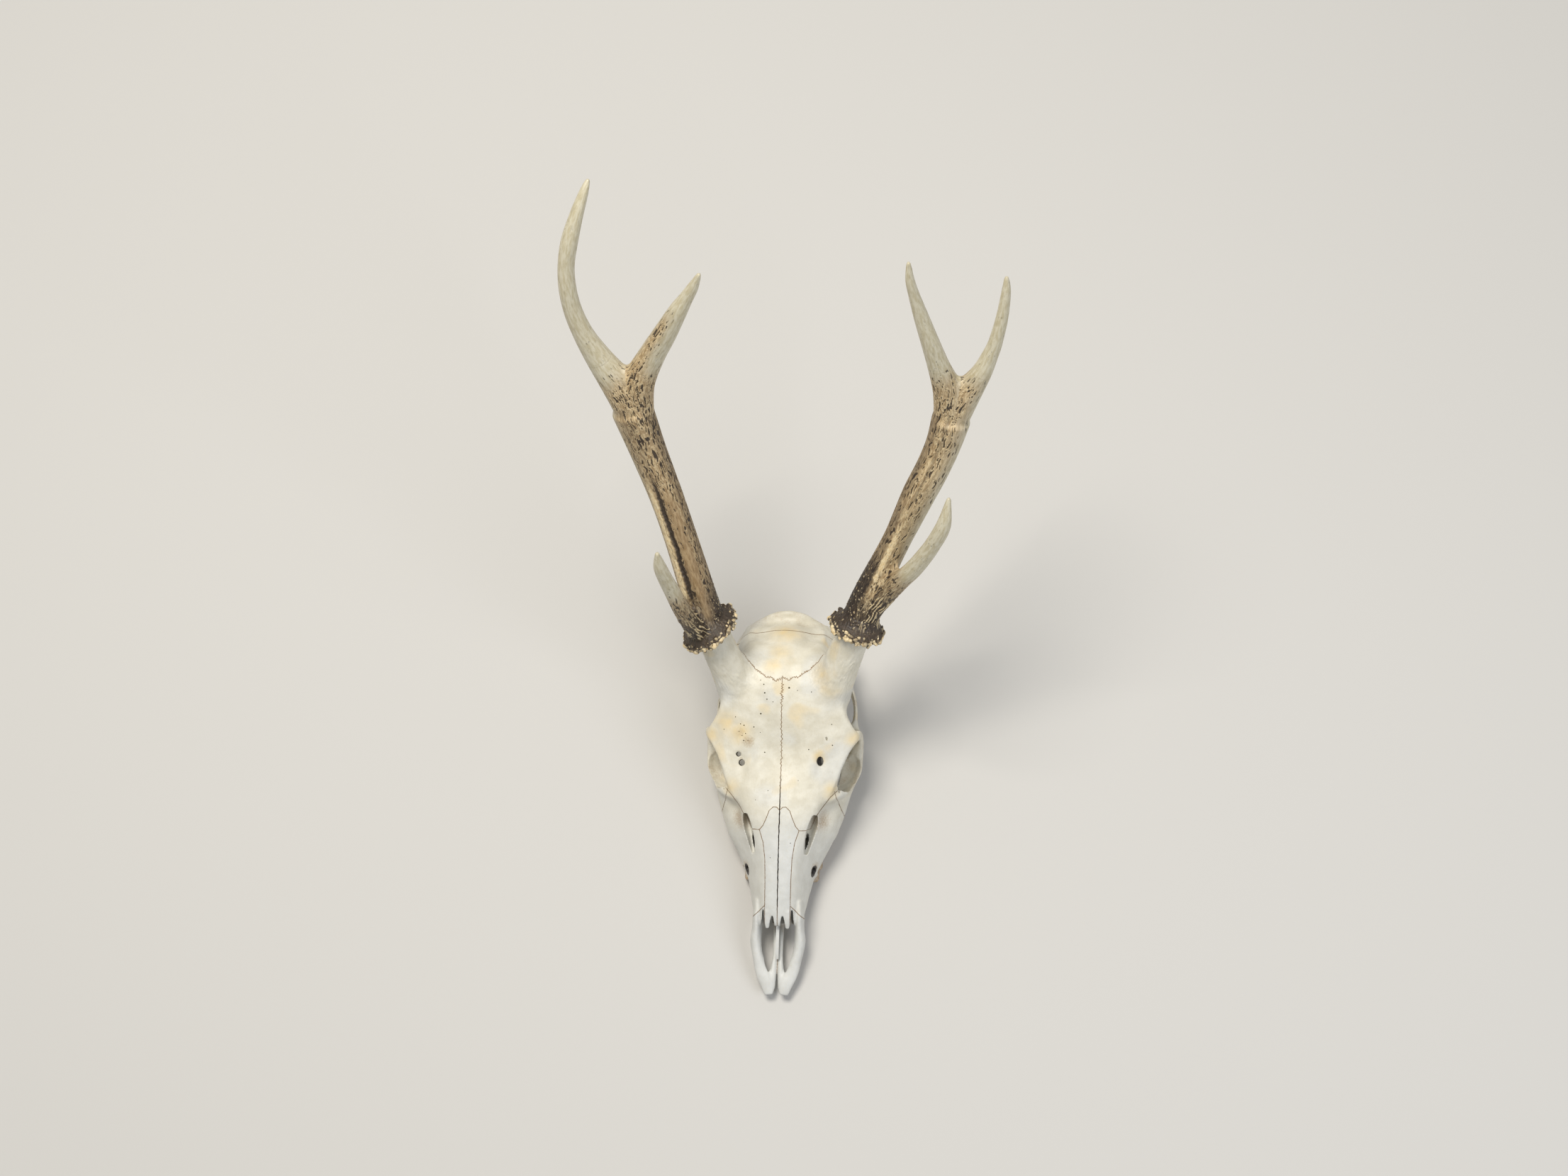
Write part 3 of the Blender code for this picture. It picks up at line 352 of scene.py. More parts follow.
def islands(obj):
    """(points, triangles, volume) of every closed surface of the object."""
    work = bmesh.new()
    work.from_mesh(obj.data)
    bmesh.ops.triangulate(work, faces=work.faces)
    work.verts.index_update()
    points = np.array([v.co[:] for v in work.verts])
    faces = np.array([[v.index for v in f.verts] for f in work.faces])
    work.free()
    label = np.arange(len(points))
    while True:
        low = np.minimum.reduce(label[faces], axis=1)
        new = label.copy()
        np.minimum.at(new, faces.ravel(), np.repeat(low, 3))
        new = new[new]
        if (new == label).all():
            break
        label = new
    out = []
    for root in np.unique(label[faces[:, 0]]):
        mine = faces[label[faces[:, 0]] == root]
        used, index = np.unique(mine, return_inverse=True)
        tri = points[mine]
        volume = np.einsum("ij,ij->i", tri[:, 0], np.cross(tri[:, 1], tri[:, 2])).sum() / 6
        out.append((points[used], index.reshape(-1, 3), volume))
    return out


def largest(obj):
    """Keeps only the closed surface with the most volume."""
    points, faces, _ = max(islands(obj), key=lambda part: part[2])
    return change_skin(obj, skin_of(obj.name, points.tolist(), faces.tolist()))


print("cutting tools: carve, islands and largest")

# %% [markdown]
# ## Thumb strokes and saw cuts
#
# A push moves the skin in or out near a few places, like a thumb on clay. A sheet is a saw
# cut of a sixth of a millimetre: it parts the clay along a suture, where two bones of a
# young skull meet in a fine zigzag. Both work on the vertices as rows of numbers.

# %% Push and sheet
def coordinates(mesh, kind="co", unit=MM):
    """The vertices as rows in mm, or with unit 1 their normals."""
    rows = np.empty(len(mesh.vertices) * 3)
    mesh.vertices.foreach_get(kind, rows)
    return rows.reshape(-1, 3) / unit


def move(mesh, co):
    mesh.vertices.foreach_set("co", (co * MM).ravel())
    mesh.update()


def raise_skin(mesh, relief):
    """Moves every vertex along its normal by its own amount in mm."""
    move(mesh, coordinates(mesh) + coordinates(mesh, "normal", 1) * relief[:, None])


def push(obj, strokes):
    """Strokes are (centre, radii, vector): a soft Gaussian push of the skin, in mm."""
    start = coordinates(obj.data)
    co = start.copy()
    for centre, radii, vector in strokes:
        for side in (1, -1):
            if side < 0 and abs(centre[0]) < 0.01:
                continue
            flip = np.array((side, 1, 1))
            away = (start - np.array(centre) * flip) / np.array(radii)
            co += np.exp(-(away ** 2).sum(1))[:, None] * (np.array(vector) * flip)
    move(obj.data, co)


def plate(name, points, faces=None):
    """A sheet KERF thick: flat inside an outline of points, or over the faces given."""
    obj = mesh_object(name, points, faces or [tuple(range(len(points)))])
    return outward(settle(obj, "SOLIDIFY", thickness=KERF * MM, offset=0))


def sheet(name, lower, upper):
    """A strip between two lines of points."""
    count = len(lower)
    faces = []
    for i in range(count - 1):
        faces += [(i, i + 1, count + i + 1), (i, count + i + 1, count + i)]
    return plate(name, list(lower) + list(upper), faces)


print("saw cuts are", KERF, "mm wide")

# %% [markdown]
# ## Noise in numbers
#
# Blender's noise textures colour a surface, but relief that shows in outline has to move
# the vertices. This is the same kind of gradient noise, worked out for whole arrays of
# points at once, so that half a million vertices take a second.

# %% Noise
def noise(points, size, seed):
    """Gradient noise from about -1 to 1 at rows of points in mm, with bumps of that size."""
    spot = np.asarray(points, float) / size
    cell = np.floor(spot).astype(np.int64)
    inside = spot - cell
    fade = inside ** 3 * (inside * (inside * 6 - 15) + 10)
    total = np.zeros(len(spot))
    for corner in itertools.product((0, 1), repeat=3):
        corner = np.array(corner)
        key = cell + corner
        mixed = key[:, 0] * 73856093 ^ key[:, 1] * 19349663 ^ key[:, 2] * 83492791 ^ seed * 2654435
        mixed = (mixed ^ (mixed >> 13)) * 1274126177
        mixed = mixed ^ (mixed >> 16)
        gradient = np.stack([(mixed >> s & 1023) / 511.5 - 1 for s in (0, 10, 20)], axis=1)
        weight = np.where(corner, fade, 1 - fade).prod(axis=1)
        total += weight * (gradient * (inside - corner)).sum(axis=1)
    return total * 1.6


def ramp(value, low, high):
    """0 below low, 1 above high, smooth between."""
    t = np.clip((value - low) / (high - low), 0, 1)
    return t * t * (3 - 2 * t)


def hump(angle, centre, width):
    """1 at an angle round the antler, fading to 0 on both sides of it."""
    off = (angle - centre + 180) % 360 - 180
    return np.exp(-(off / width) ** 2)


print("a sample of noise:", noise(np.full((1, 3), 0.5), 1.0, 1).round(3))

# %% [markdown]
# ## The masses of the face
#
# The face is one loft through cross-sections from the muzzle to the nuchal crest. A sika
# stag's face is short and tapers evenly, and its orbits stand out at the widest place,
# about two thirds of the way up. Each row is a station and its right half from the top
# midline to the bottom midline, so the left half costs nothing.

# %% Face sections
FACE = [
    (50, [(0, -6), (6, -6.6), (12, -11), (16.8, -19), (17.6, -26), (15, -32), (8, -34.5), (0, -34)]),
    (57, [(0, -3.6), (7, -4.6), (13.4, -10), (18, -19), (18.7, -27), (16, -34), (8, -36.5), (0, -35.5)]),
    (66, [(0, -1.6), (8, -2.8), (14.2, -9), (19.4, -20), (20.8, -29), (18.4, -37), (9, -39), (0, -38)]),
    (84, [(0, 0.3), (8.5, -1), (14.8, -7), (21.2, -20), (25, -32), (23.6, -42), (12, -43.5), (0, -42)]),
    (98, [(0, 0.8), (9, -0.6), (15.4, -6.4), (24.6, -20), (31.2, -35), (29.6, -46), (14, -48), (0, -46)]),
    (112, [(0, 1), (10, -0.4), (18, -5.8), (28.4, -18), (38.4, -35), (34, -50), (15, -52), (0, -50)]),
    (126, [(0, 1), (11.5, -0.2), (21, -4), (32, -15), (42.6, -34), (36, -53), (18, -56), (0, -54)]),
    (140, [(0, 0), (14, -0.8), (27, -4), (36, -12), (46, -33), (38, -54), (20, -60), (0, -57.5)]),
    (152, [(0, -1.6), (17, -1.8), (31, -4.4), (38.6, -10), (47, -34), (36, -52), (20, -62), (0, -60)]),
    (165, [(0, -2.4), (20, -2.2), (34, -4), (42, -7.6), (42, -24), (26, -44), (12, -58), (0, -61)]),
    (180, [(0, -1.6), (22, -1.2), (38, -4), (47.4, -8.4), (40, -21), (22, -40), (12, -60), (0, -64)]),
    (192, [(0, 0.8), (22, 1.6), (42, -2.4), (54, -10), (42, -21), (25, -40), (15, -64), (0, -67)]),
    (204, [(0, 4), (22, 4.4), (38, 0), (47, -9), (37, -24), (30, -44), (19, -70), (0, -73)]),
    (216, [(0, 6.4), (22, 6.8), (35, 2.6), (42.5, -8), (38, -26), (35, -50), (24, -74), (0, -79)]),
    (232, [(0, 7), (20, 7), (32, 2), (38.6, -10), (39, -32), (38, -56), (26, -78), (0, -84)]),
    (246, [(0, 1), (16, 0), (29, -6), (36.6, -19), (39, -40), (37, -62), (25, -84), (0, -91)]),
    (258, [(0, -11), (14, -12), (26, -18), (33, -31), (36, -48), (33, -66), (22, -88), (0, -97)]),
    (267, [(0, -24), (12, -25), (23, -31), (30, -42), (33, -54), (29, -70), (20, -88), (0, -98)]),
    (272, [(0, -38), (10, -39), (20, -42), (27, -49), (29, -58), (25, -70), (16, -82), (0, -88)]),
]
print("face:", len(FACE), "sections, widest", 2 * max(x for _, half in FACE for x, _ in half), "mm")

# %% [markdown]
# ## Rims, bars and arches
#
# The orbital rims, the cheek bones, the brow and the nuchal crest are tubes that melt into
# the face. Each row is a place with a half width and a half height.

# %% Rims and arches
CHEEK = [
    (35.6, 115, -37, 4.6, 7.6), (38, 122, -38.6, 4.8, 8.8), (41.4, 132, -41, 5, 9.6),
    (44.4, 143, -42, 5, 10), (47.2, 153, -43.6, 5.2, 9.4), (51.8, 163, -45.6, 5.6, 7.8),
    (52.4, 173, -47.8, 6, 7), (53.4, 184, -50.4, 4.6, 6.6), (50.6, 198, -53.6, 3, 6),
    (50.2, 212, -57, 2.6, 5.4), (46.4, 225, -60.5, 2.8, 4.8), (43, 236, -63, 3.6, 4.6),
    (38.6, 244, -64, 5, 4.6),
]
ORBIT_FLOOR = [
    (40, 150, -36, 5, 3), (44.5, 158, -43, 6, 2.6), (47, 168, -46.4, 6.4, 2.4),
    (49, 178, -48.4, 5.6, 2.4), (52, 187, -50, 3.6, 2.4),
]
ORBIT_RIM = [
    (35, 143.5, -9, 3, 3), (40.6, 146.5, -15, 3.6, 3.2), (45.6, 149, -26, 3.4, 3.4),
    (49.4, 154, -35, 3, 3.6), (54, 163, -40.5, 2.8, 3.8), (55.2, 175, -43.5, 2.7, 3.8),
    (56.4, 186, -44, 2.7, 4),
]
BROW_RIM = [
    (33.6, 143, -8.2, 3, 2.8), (37.2, 152, -7.4, 2.7, 2.4), (41, 162, -7.4, 2.6, 2.3),
    (44.6, 172, -8, 2.6, 2.3), (49.4, 182, -9.2, 2.8, 2.5), (54.4, 190.4, -10.6, 3, 3.2),
]
BAR = [
    (53.6, 190, -10, 2.8, 4), (55.2, 191.4, -16, 2.5, 4.4), (56, 191.4, -26, 2.2, 4),
    (56, 190, -36, 2.3, 4.4), (55.6, 188, -47, 2.8, 6),
]
TEMPORAL_EDGE = [
    (54.4, 190.6, -10, 3, 3), (49, 198, -6, 3.4, 3.2), (43.6, 207, -2, 4, 3.6),
    (40, 217, 0, 5, 4.4), (40, 227, 2, 6, 6),
]
CREST = [
    (0, 280, -43.5, 2.6, 3.4), (8, 279, -43.8, 2.6, 3.2), (16, 276.2, -45.5, 2.4, 3),
    (24, 271.2, -49, 2.4, 3), (31, 265, -54, 2.4, 3), (36.6, 256.6, -59, 2.6, 3.2),
    (41, 247, -62.5, 3, 4),
]
print("rims and arches:", len(CHEEK + ORBIT_FLOOR + ORBIT_RIM + BROW_RIM + BAR + TEMPORAL_EDGE + CREST),
      "rows")

# %% [markdown]
# ## Muzzle, base and pedicles
#
# The premaxillae carry no teeth: two flat bars that meet at the tip, each with an inner
# prong along the palate. The base has the pterygoid blades and the paracondylar processes.
# The pedicles are short stalks of the forehead that the antlers grow from.

# %% Muzzle, base and pedicles
PREMAXILLA = [
    (5.6, -1.4, -15, 3.2, 1.8), (6, 2.4, -15.3, 4.6, 2.5), (7, 7.5, -15.8, 5.6, 3),
    (10.8, 15, -16.8, 5.2, 3.6), (14.6, 27, -18, 4, 5), (16.4, 38, -19, 4.2, 7),
    (15.8, 47, -19.6, 3.6, 9.4), (15.7, 57, -20.4, 3.4, 12.2), (15.2, 68, -21.4, 3.2, 13),
]
PALATE_PRONG = [
    (4.2, 3.6, -16, 3.4, 2.4), (3.1, 13, -17.4, 2.7, 2.8), (2.2, 24, -20.6, 1.9, 3),
    (2, 36, -24.6, 1.8, 3.2), (2.2, 48, -29.4, 1.9, 3.2), (3, 60, -33.4, 2.6, 3),
]
NASAL_PRONG = [
    (7.4, 48.4, -9, 1.5, 1.2), (7.6, 54, -6.6, 2, 1.5), (7.6, 62, -4.8, 2, 1.8),
]
BASIOCCIPITAL = [
    (0, 196, -66, 8, 7), (0, 214, -75, 9.5, 8), (0, 232, -84, 11, 8.4),
    (0, 248, -91.5, 11.6, 8.4), (0, 264, -98, 12, 8),
]
PTERYGOID = [
    (12.6, 150, -57, 2, 6), (12.4, 160, -64, 1.7, 6), (12, 172, -70, 1.6, 6.4),
    (11.4, 184, -73, 1.7, 6.4), (11, 195, -72, 2, 6),
]
PARACONDYLAR = [
    (27, 254, -74, 5, 6), (27.4, 257, -86, 3.6, 5.4), (26.4, 259.6, -97, 2.8, 4.6),
    (25, 261.6, -106.6, 2.2, 3.4),
]
PEDICLE = {
    -1: [(-32.4, 219, -13, 15.4), (-36.4, 231, -3, 14.6), (-41.5, 244, 8, 13.4),
         (-47.1, 256.6, 18.4, 12.8), (-53.2, 270.6, 29.4, 12.6)],
    1: [(34, 219, -13, 15.4), (37.8, 231, -3, 14.6), (43.2, 245, 7.6, 13.4),
         (48.9, 259, 18, 12.8), (55.1, 274, 29.2, 12.6)],
}
print("pedicles lean outwards and end", PEDICLE[1][-1][3] * 2, "mm wide")

# %% [markdown]
# ## Teeth
#
# The cheek teeth are short blocks with two worn ridges, cut level at the plane on which the
# skull rests. A rounded square with a waist gives the two lobes of a molar. Each row is a
# place across and along the skull, a width and a length.

# %% Teeth
TEETH = [
    (24.2, 84, 8, 8.6), (25.8, 93.2, 9.2, 9.8), (27.6, 103.2, 10, 10.2),
    (28.4, 115, 12, 12.4), (30.4, 128.6, 13.2, 13.8), (31.6, 142.8, 13.4, 14.2),
]
SQUARENESS = 0.62
WAIST = 0.17


def base_z(y):
    """Height of the plane that the teeth and the condyles stand on: it slopes down from y = BASE_START."""
    return -BASE_LEVEL - (y - BASE_START) * BASE_SLOPE


def tooth(name, x, y, wide, long):
    """One crown of two lobes, with its root end in the jaw."""
    ground = base_z(y)
    rings = []
    for depth, grow in ((12.5, 0.78), (8.5, 0.9), (4.5, 1.0), (-1.5, 0.94)):
        ring = []
        for k in range(24):
            a = 2 * math.pi * k / 24
            c, s = math.cos(a), math.sin(a)
            px = math.copysign(abs(c) ** SQUARENESS, c) * wide / 2 * grow
            py = math.copysign(abs(s) ** SQUARENESS, s) * long / 2 * (0.5 + 0.5 * grow)
            px *= 1 - WAIST * math.exp(-(py / (0.16 * long)) ** 2)
            ring.append((x + px, y + py, ground + depth))
        rings.append(ring)
    return loft(name, rings)


print("cheek teeth:", len(TEETH), "a side")

# %% [markdown]
# ## Fused masses
#
# The braincase, the brow and the pedicles melt broadly into one another, while the cheek
# bones and the blades of the base stay thin. So the masses are listed in two groups: the
# broad ones get a wide fillet later and the fine ones a narrow one.

# %% Masses
def broad_masses():
    lumps = [section_loft("face", FACE)]
    lumps += both(tube, "brow_rim", BROW_RIM)
    lumps += both(tube, "temporal_edge", TEMPORAL_EDGE)
    lumps += both(ball, "parietal", (17, 232, -34), (23, 34, 38))
    lumps.append(ball("occiput", (0, 257, -66), (30, 16, 31)))
    return lumps + [tube("pedicle", path) for path in PEDICLE.values()]


def fine_masses():
    lumps = both(tube, "cheek", CHEEK)
    lumps += both(tube, "orbit_rim", ORBIT_RIM, side=(0, 1, 0))
    lumps += both(tube, "bar", BAR)
    lumps += both(tube, "crest", CREST, side=(0, 1, 0))
    lumps += both(tube, "pterygoid", PTERYGOID)
    lumps += both(tube, "paracondylar", PARACONDYLAR)
    lumps.append(tube("basioccipital", BASIOCCIPITAL))
    lumps += both(ball, "condyle", (12.6, 266, -101), (7.4, 8.6, 12.4), turn=(0.3, 0, 0.35))
    lumps += both(ball, "bulla", (21, 243, -87), (7, 10, 6.5), turn=(0, 0, -0.4))
    lumps += both(ball, "ear_root", (36.5, 247, -63), (9, 10, 7.5))
    lumps += both(ball, "glenoid", (38, 231, -64), (10.5, 8, 4.6))
    return lumps


STROKES = [
    ((0, 176, 0), (17, 15, 30), (0, 0, -2.6)),
    ((20, 168, -2), (9, 14, 12), (0, 0, 0.9)),
    ((29, 166, -3), (4.5, 10, 10), (0, 0, -1.8)),
    ((29, 173, -3), (4, 5, 10), (0, 0, -1.6)),
    ((0, 214, 6), (7, 22, 10), (0, 0, 0.8)),
    ((35.5, 137, -16), (7, 12, 12), (-3.6, 0, -4.6)),
    ((27, 112, -18), (7, 18, 9), (-1.2, 0, -0.6)),
    ((17, 262, -18), (5.5, 13, 16), (0, -1.4, -2.2)),
    ((0, 262, -22), (8, 10, 12), (0, 0.8, 1)),
    ((0, 247, -2), (9, 10, 8), (0, 0, 0.8)),
    ((17, 279, -66), (8, 8, 12), (0, -4, 0)),
    ((0, 281, -64), (3, 8, 14), (0, 2.2, 0)),
    ((44, 204, -40), (6, 14, 12), (-3, 0, 0)),
    ((0, 100, -48), (11, 34, 8), (0, 0, 2.2)),
]
TEMPORAL_HOLLOWS = [
    ((22, 265, -26), (5, 8, 12), (0, -1, -1.8)), ((14, 273, -36), (5, 3, 8), (0, -1.2, -0.8)),
    ((27, 262, -30), (2.4, 9, 10), (0.8, 0.8, 0.8)),
]
print("thumb strokes:", len(STROKES + TEMPORAL_HOLLOWS))

# %% [markdown]
# ## The hollows of the skull
#
# The nose, the orbits, the temporal fossae, the choanae and the foramen magnum are cut out
# of the clay with one Boolean. The larger holes for nerves and vessels are tubes too.

# %% Hollow tables
NASAL_CAVITY = [
    (34, [(0, -8.6), (6, -9), (10, -10.6), (11.4, -13.4), (10, -16), (6, -17.6), (0, -18)]),
    (42, [(0, -8.6), (6, -9.2), (10.4, -11.6), (12.2, -16), (10.6, -19.6), (6.4, -21.6), (0, -22)]),
    (50, [(0, -8.6), (6, -9.2), (10.6, -12.6), (12.8, -18.6), (11.4, -23.6), (7, -26), (0, -26.4)]),
    (57, [(0, -6.8), (6.4, -7.6), (11, -11.6), (13.8, -19.6), (12.6, -27), (7.4, -30.6), (0, -31)]),
    (66, [(0, -4.6), (6.6, -5.6), (11.4, -10.6), (14.8, -20), (14, -29), (8, -33.6), (0, -34)]),
    (84, [(0, -2.8), (7, -4), (12.4, -9), (16.6, -20), (17, -31), (10, -37), (0, -37.4)]),
    (100, [(0, -2.4), (8, -3.6), (14, -8.4), (19, -20), (20, -32), (12, -39), (0, -39.6)]),
    (114, [(0, -2.6), (8.6, -3.8), (16, -8.6), (21, -20), (22, -32), (12, -40), (0, -41)]),
    (126, [(0, -5), (8, -6), (15, -10), (19, -20), (19, -32), (10, -40), (0, -41)]),
    (134, [(0, -12), (5, -13), (9, -16), (11, -21), (10, -28), (5, -33), (0, -34)]),
]
VACUITY = [
    (19.4, 103, -8, 1.4, 8), (20.8, 110, -8, 2.6, 10), (22.6, 118, -8, 3.4, 12),
    (24.6, 126, -8, 3.2, 12), (25.8, 132.5, -8, 1.6, 9),
]
CHOANA = [
    (0, 204, -86, 8, 8), (0, 186, -76, 9.2, 9), (0, 168, -67, 9.8, 9.4),
    (0, 154, -58, 9.2, 8.6), (0, 144, -51, 7.4, 6.6),
]
print("nasal cavity:", len(NASAL_CAVITY), "sections")

# %% [markdown]
# ## Cutters
#
# Each opening of the real skull is matched by a simple solid, a little longer than the hole
# is deep. Its name says which opening it is, from the orbits to the hole for the tears. The
# block below the teeth and the drums over the pedicles cut the skull level.

# %% Hollows
def skull_cutters():
    cuts = [section_loft("nasal_cavity", NASAL_CAVITY)]
    cuts += both(ball, "orbit", ORBIT, (ORBIT_RADIUS, ORBIT_RADIUS - 1, 17.5), turn=(0, 0.5, -0.3))
    cuts += both(ball, "orbit_mouth", (55, 168, -25), (11, 17.2, 14.6), turn=(0, 0, -0.32))
    cuts += both(ball, "temporal_fossa", (47.5, 210, -31), (9, 18, 23), turn=(0, 0, 0.2))
    cuts += both(ball, "fossa_low", (45, 214, -52), (5.6, 17, 13), turn=(0, 0, 0.16))
    cuts += both(ball, "fossa_link", (43, 189, -34), (9, 16, 13))
    cuts += both(tube, "orbit_slit", [(38, 153, -40, 2.4, 9), (38.4, 162, -46, 3.6, 10),
                                      (38, 174, -50, 5, 12), (40, 190, -54, 6.5, 12)])
    cuts += both(tube, "nasal_notch", [(4, 44, -8, 2.2, 9), (3.9, 52, -7, 1.7, 9),
                                       (3.8, 58.4, -6, 0.5, 9)])
    cuts += both(tube, "nasal_gap", [(11, 44, -9, 1.8, 9), (10.7, 54, -8, 1.1, 8),
                                     (10.5, 62.6, -6, 0.5, 6)])
    cuts += both(tube, "vacuity", VACUITY)
    cuts += both(tube, "palate_gap", [(6.2, 14.5, -18, 0.5, 12), (7.2, 22, -20, 2.4, 16),
                                      (7.6, 34, -24, 3.5, 20), (7.4, 45, -30, 2.8, 16),
                                      (6.8, 53, -34, 1.2, 12)])
    cuts.append(tube("choana", CHOANA))
    cuts.append(tube("foramen_magnum", [(0, 240, -88, 7, 7), (0, 256, -92, 8.6, 8),
                                        (0, 272, -96, 9.6, 9), (0, 290, -100, 10.4, 10)]))
    cuts += both(tube, "ear_hole", [(38, 246, -62.6, 2.4), (52, 251, -62, 3)], side=(0, 1, 0))
    cuts += both(tube, "infraorbital", [(17, 96, -27, 2.6, 1.8), (25.6, 89, -26, 3.2, 2.4),
                                        (31, 82, -25, 3.6, 2.8)], side=(0, 0, 1))
    cuts += both(tube, "lacrimal_hole", [(43, 152, -17, 1.5), (37, 143, -16, 1.5)], side=(0, 0, 1))
    cuts.append(tube("brow_hole_right", [(28.4, 172.8, 4, 2.7, 4), (28.6, 172, -15, 2.2, 3)]))
    cuts.append(tube("brow_hole_a", [(-29.2, 170, 4, 2.6, 2.6), (-29, 169.4, -15, 2, 2.2)]))
    cuts.append(tube("brow_hole_b", [(-31.9, 176.4, 4, 1.9, 1.9), (-31.4, 175.6, -15, 1.8, 1.8)]))
    return cuts


def antler_axis(side):
    """Square to the burr, which sits aslant on the left beam."""
    return Vector(BURR_AXIS[side]).normalized()


def ground_block():
    """Everything below the plane that the skull stands on."""
    corners = ((-120, 0), (120, 0), (120, 330), (-120, 330))
    return loft("ground_block", [[(x, y, base_z(y) - depth) for x, y in corners] for depth in (0, 60)])


def drum(name, side, stations, sides):
    """A round body along an antler's axis. Stations are (height over the burr, radius)."""
    centre, axis = Vector(CORONET[side]), antler_axis(side)
    return tube(name, [tuple(centre + axis * height) + (radius,) for height, radius in stations], sides=sides)


def above_pedicles():
    """Two discs that end the pedicles just under the coronets."""
    return [drum("pedicle_end", side, [(-3.3, 27), (16, 27)], 32) for side in CORONET]


print("antler axes:", [tuple(round(v, 2) for v in antler_axis(side)) for side in CORONET])

# %% [markdown]
# ## The sutures
#
# The bones of the skull meet along sutures. Each one is a thin sheet that follows the line
# seen on the forehead: a V of fine teeth behind the frontals, a wavy line down the middle,
# and rounded lobes where the nasals reach into the frontals.

# %% Suture sheets
CORONAL_STEP = 0.85
CORONAL_REACH = 1.25


def mirrored(line):
    return [(-x, y, z) for x, y, z in line]


def on_both_sides(make, name, *lines):
    """The same sheet on the right and on the left."""
    return [make(name, *lines), make(name, *map(mirrored, lines))]


def stitched(line, step, reach, seed):
    """Points along a line, thrown up and down in turn, as two bones interlock."""
    dice = random.Random(seed)
    made = [Vector(line[0] + (0,))]
    turn = 1
    for a, b in zip(line, line[1:]):
        a, b = Vector(a + (0,)), Vector(b + (0,))
        count = max(1, round((b - a).length / step))
        for i in range(1, count + 1):
            throw = turn * reach * dice.uniform(0.4, 1.0) if i < count else 0
            made.append(a.lerp(b, i / count) + Vector((0, throw, 0)))
            turn = -turn
    return made


def skull_kerfs():
    """The sheets that part the skull, in millimetres of the face frame."""
    out = []
    upper, lower = [], []
    for side, back in ((-1, 261.5), (1, 265)):
        teeth = stitched([(0, 235), (5, 232.6), (8, 235.4), (12, 236), (15, 239.6),
                          (20, 243.6), (23, 248), (26, 250)], CORONAL_STEP, CORONAL_REACH, 6 + side)
        line = teeth + [Vector(p) for p in ((30, back - 4, 0), (36, back, 0), (66, back, 0))]
        high, low = [], []
        for p in line:
            rise = min(1.0, max(0.0, (p.x - 18) / 14))
            high.append((side * p.x, p.y, 15 * (1 - rise) + 5 * rise))
            low.append((side * p.x, back - 36.5, -24.0))
        upper = high[:0:-1] + upper if side < 0 else upper + high
        lower = low[:0:-1] + lower if side < 0 else lower + low
    out.append(sheet("coronal", lower, upper))

    front = [(0, 136), (2.2, 138.2), (4.6, 138.4), (7.6, 135.6), (9.6, 130), (12, 124.4),
             (14.6, 121.2), (22, 121.4)]
    rear = [(25, 129), (29, 135.6), (36.5, 146), (44, 153), (66, 158)]
    edge = front + rear
    top = [(x, y, 9.0) for x, y in edge]
    low = [(x, y, -24.0) for x, y in edge]
    out.append(sheet("frontal_front", mirrored(low[:0:-1]) + low, mirrored(top[:0:-1]) + top))
    floor = [(x, y, -24.0) for x, y in edge] + [(66, 229.5, -24.0), (1, 229.5, -24.0)]
    out.append(plate("frontal_floor", floor + mirrored(floor)[::-1][:-1]))

    nasal = [(9.4, 40), (9.4, 60), (9.5, 84), (10, 100), (11.6, 112), (14.6, 121.2)]
    low = [(x, y, -8.4 if y > 70 else -15) for x, y in nasal]
    out += on_both_sides(sheet, "nasal_side", low, [(x, y, 6) for x, y in nasal])
    shelf = [(x, y, -7.0) for x, y in front[:-1]] + [(14.6, 116, -7.0), (0, 116, -7.0)]
    out += on_both_sides(plate, "nasal_shelf", shelf)

    dice = random.Random(12)
    low = [(0, -6, -60), (0, 60, -60), (0, 152, -84)]
    high = [(0, y, 16) for _, y, _ in low]
    y = 152.2
    turn = 1
    while y < 229.4:
        wave = turn * (0.12 + 0.62 * dice.random()) * (1.9 if y > 214 else 1.0)
        low.append((wave, y, -24))
        high.append((wave, y, 16))
        turn = -turn
        y += dice.uniform(0.8, 2.2) * (0.55 if y > 214 else 1.0)
    low += [(0, 229.4, -24), (0, 236.5, 16)]
    high += [(0, 229.4, 16), (0, 236.5, 16.2)]
    out.append(sheet("midline", low, high))

    premax = [(9.4, 66.4), (12.4, 63.6), (16, 60), (23, 54.6)]
    out += on_both_sides(sheet, "premaxilla_back", [(x, y - 6, -50) for x, y in premax],
                         [(x, y, 4) for x, y in premax])
    out += on_both_sides(sheet, "palate_front", [(-0.4, 54.8, -50), (10, 60.8, -50)],
                         [(-0.4, 57.8, -24), (10, 63.6, -24)])
    out.append(sheet("maxilla_back", [(-39.2, 152, -90), (39.2, 152, -90)],
                     [(-39.2, 152, -23.8), (39.2, 152, -23.8)]))
    cheek = [(33, 170), (38.9, 152), (42, 141), (45.6, 131), (50, 121)]
    brim = [(39.4, 150.2)] + cheek[2:]
    out += on_both_sides(sheet, "cheek_low", [(x, y, -72) for x, y in cheek], [(x, y, -24) for x, y in cheek])
    out += on_both_sides(sheet, "cheek_high", [(x, y, -24.4) for x, y in brim], [(x, y, -2) for x, y in brim])
    out += on_both_sides(sheet, "arch", [(40, 207, -70), (64, 207, -70)], [(40, 222, -44), (64, 222, -44)])
    out.append(sheet("occipital", [(-60, 238, -104), (60, 238, -104)],
                     [(-60, 272, -12), (60, 272, -12)]))
    return out


print("coronal suture: a tooth every", CORONAL_STEP, "mm, up to", CORONAL_REACH, "mm high")

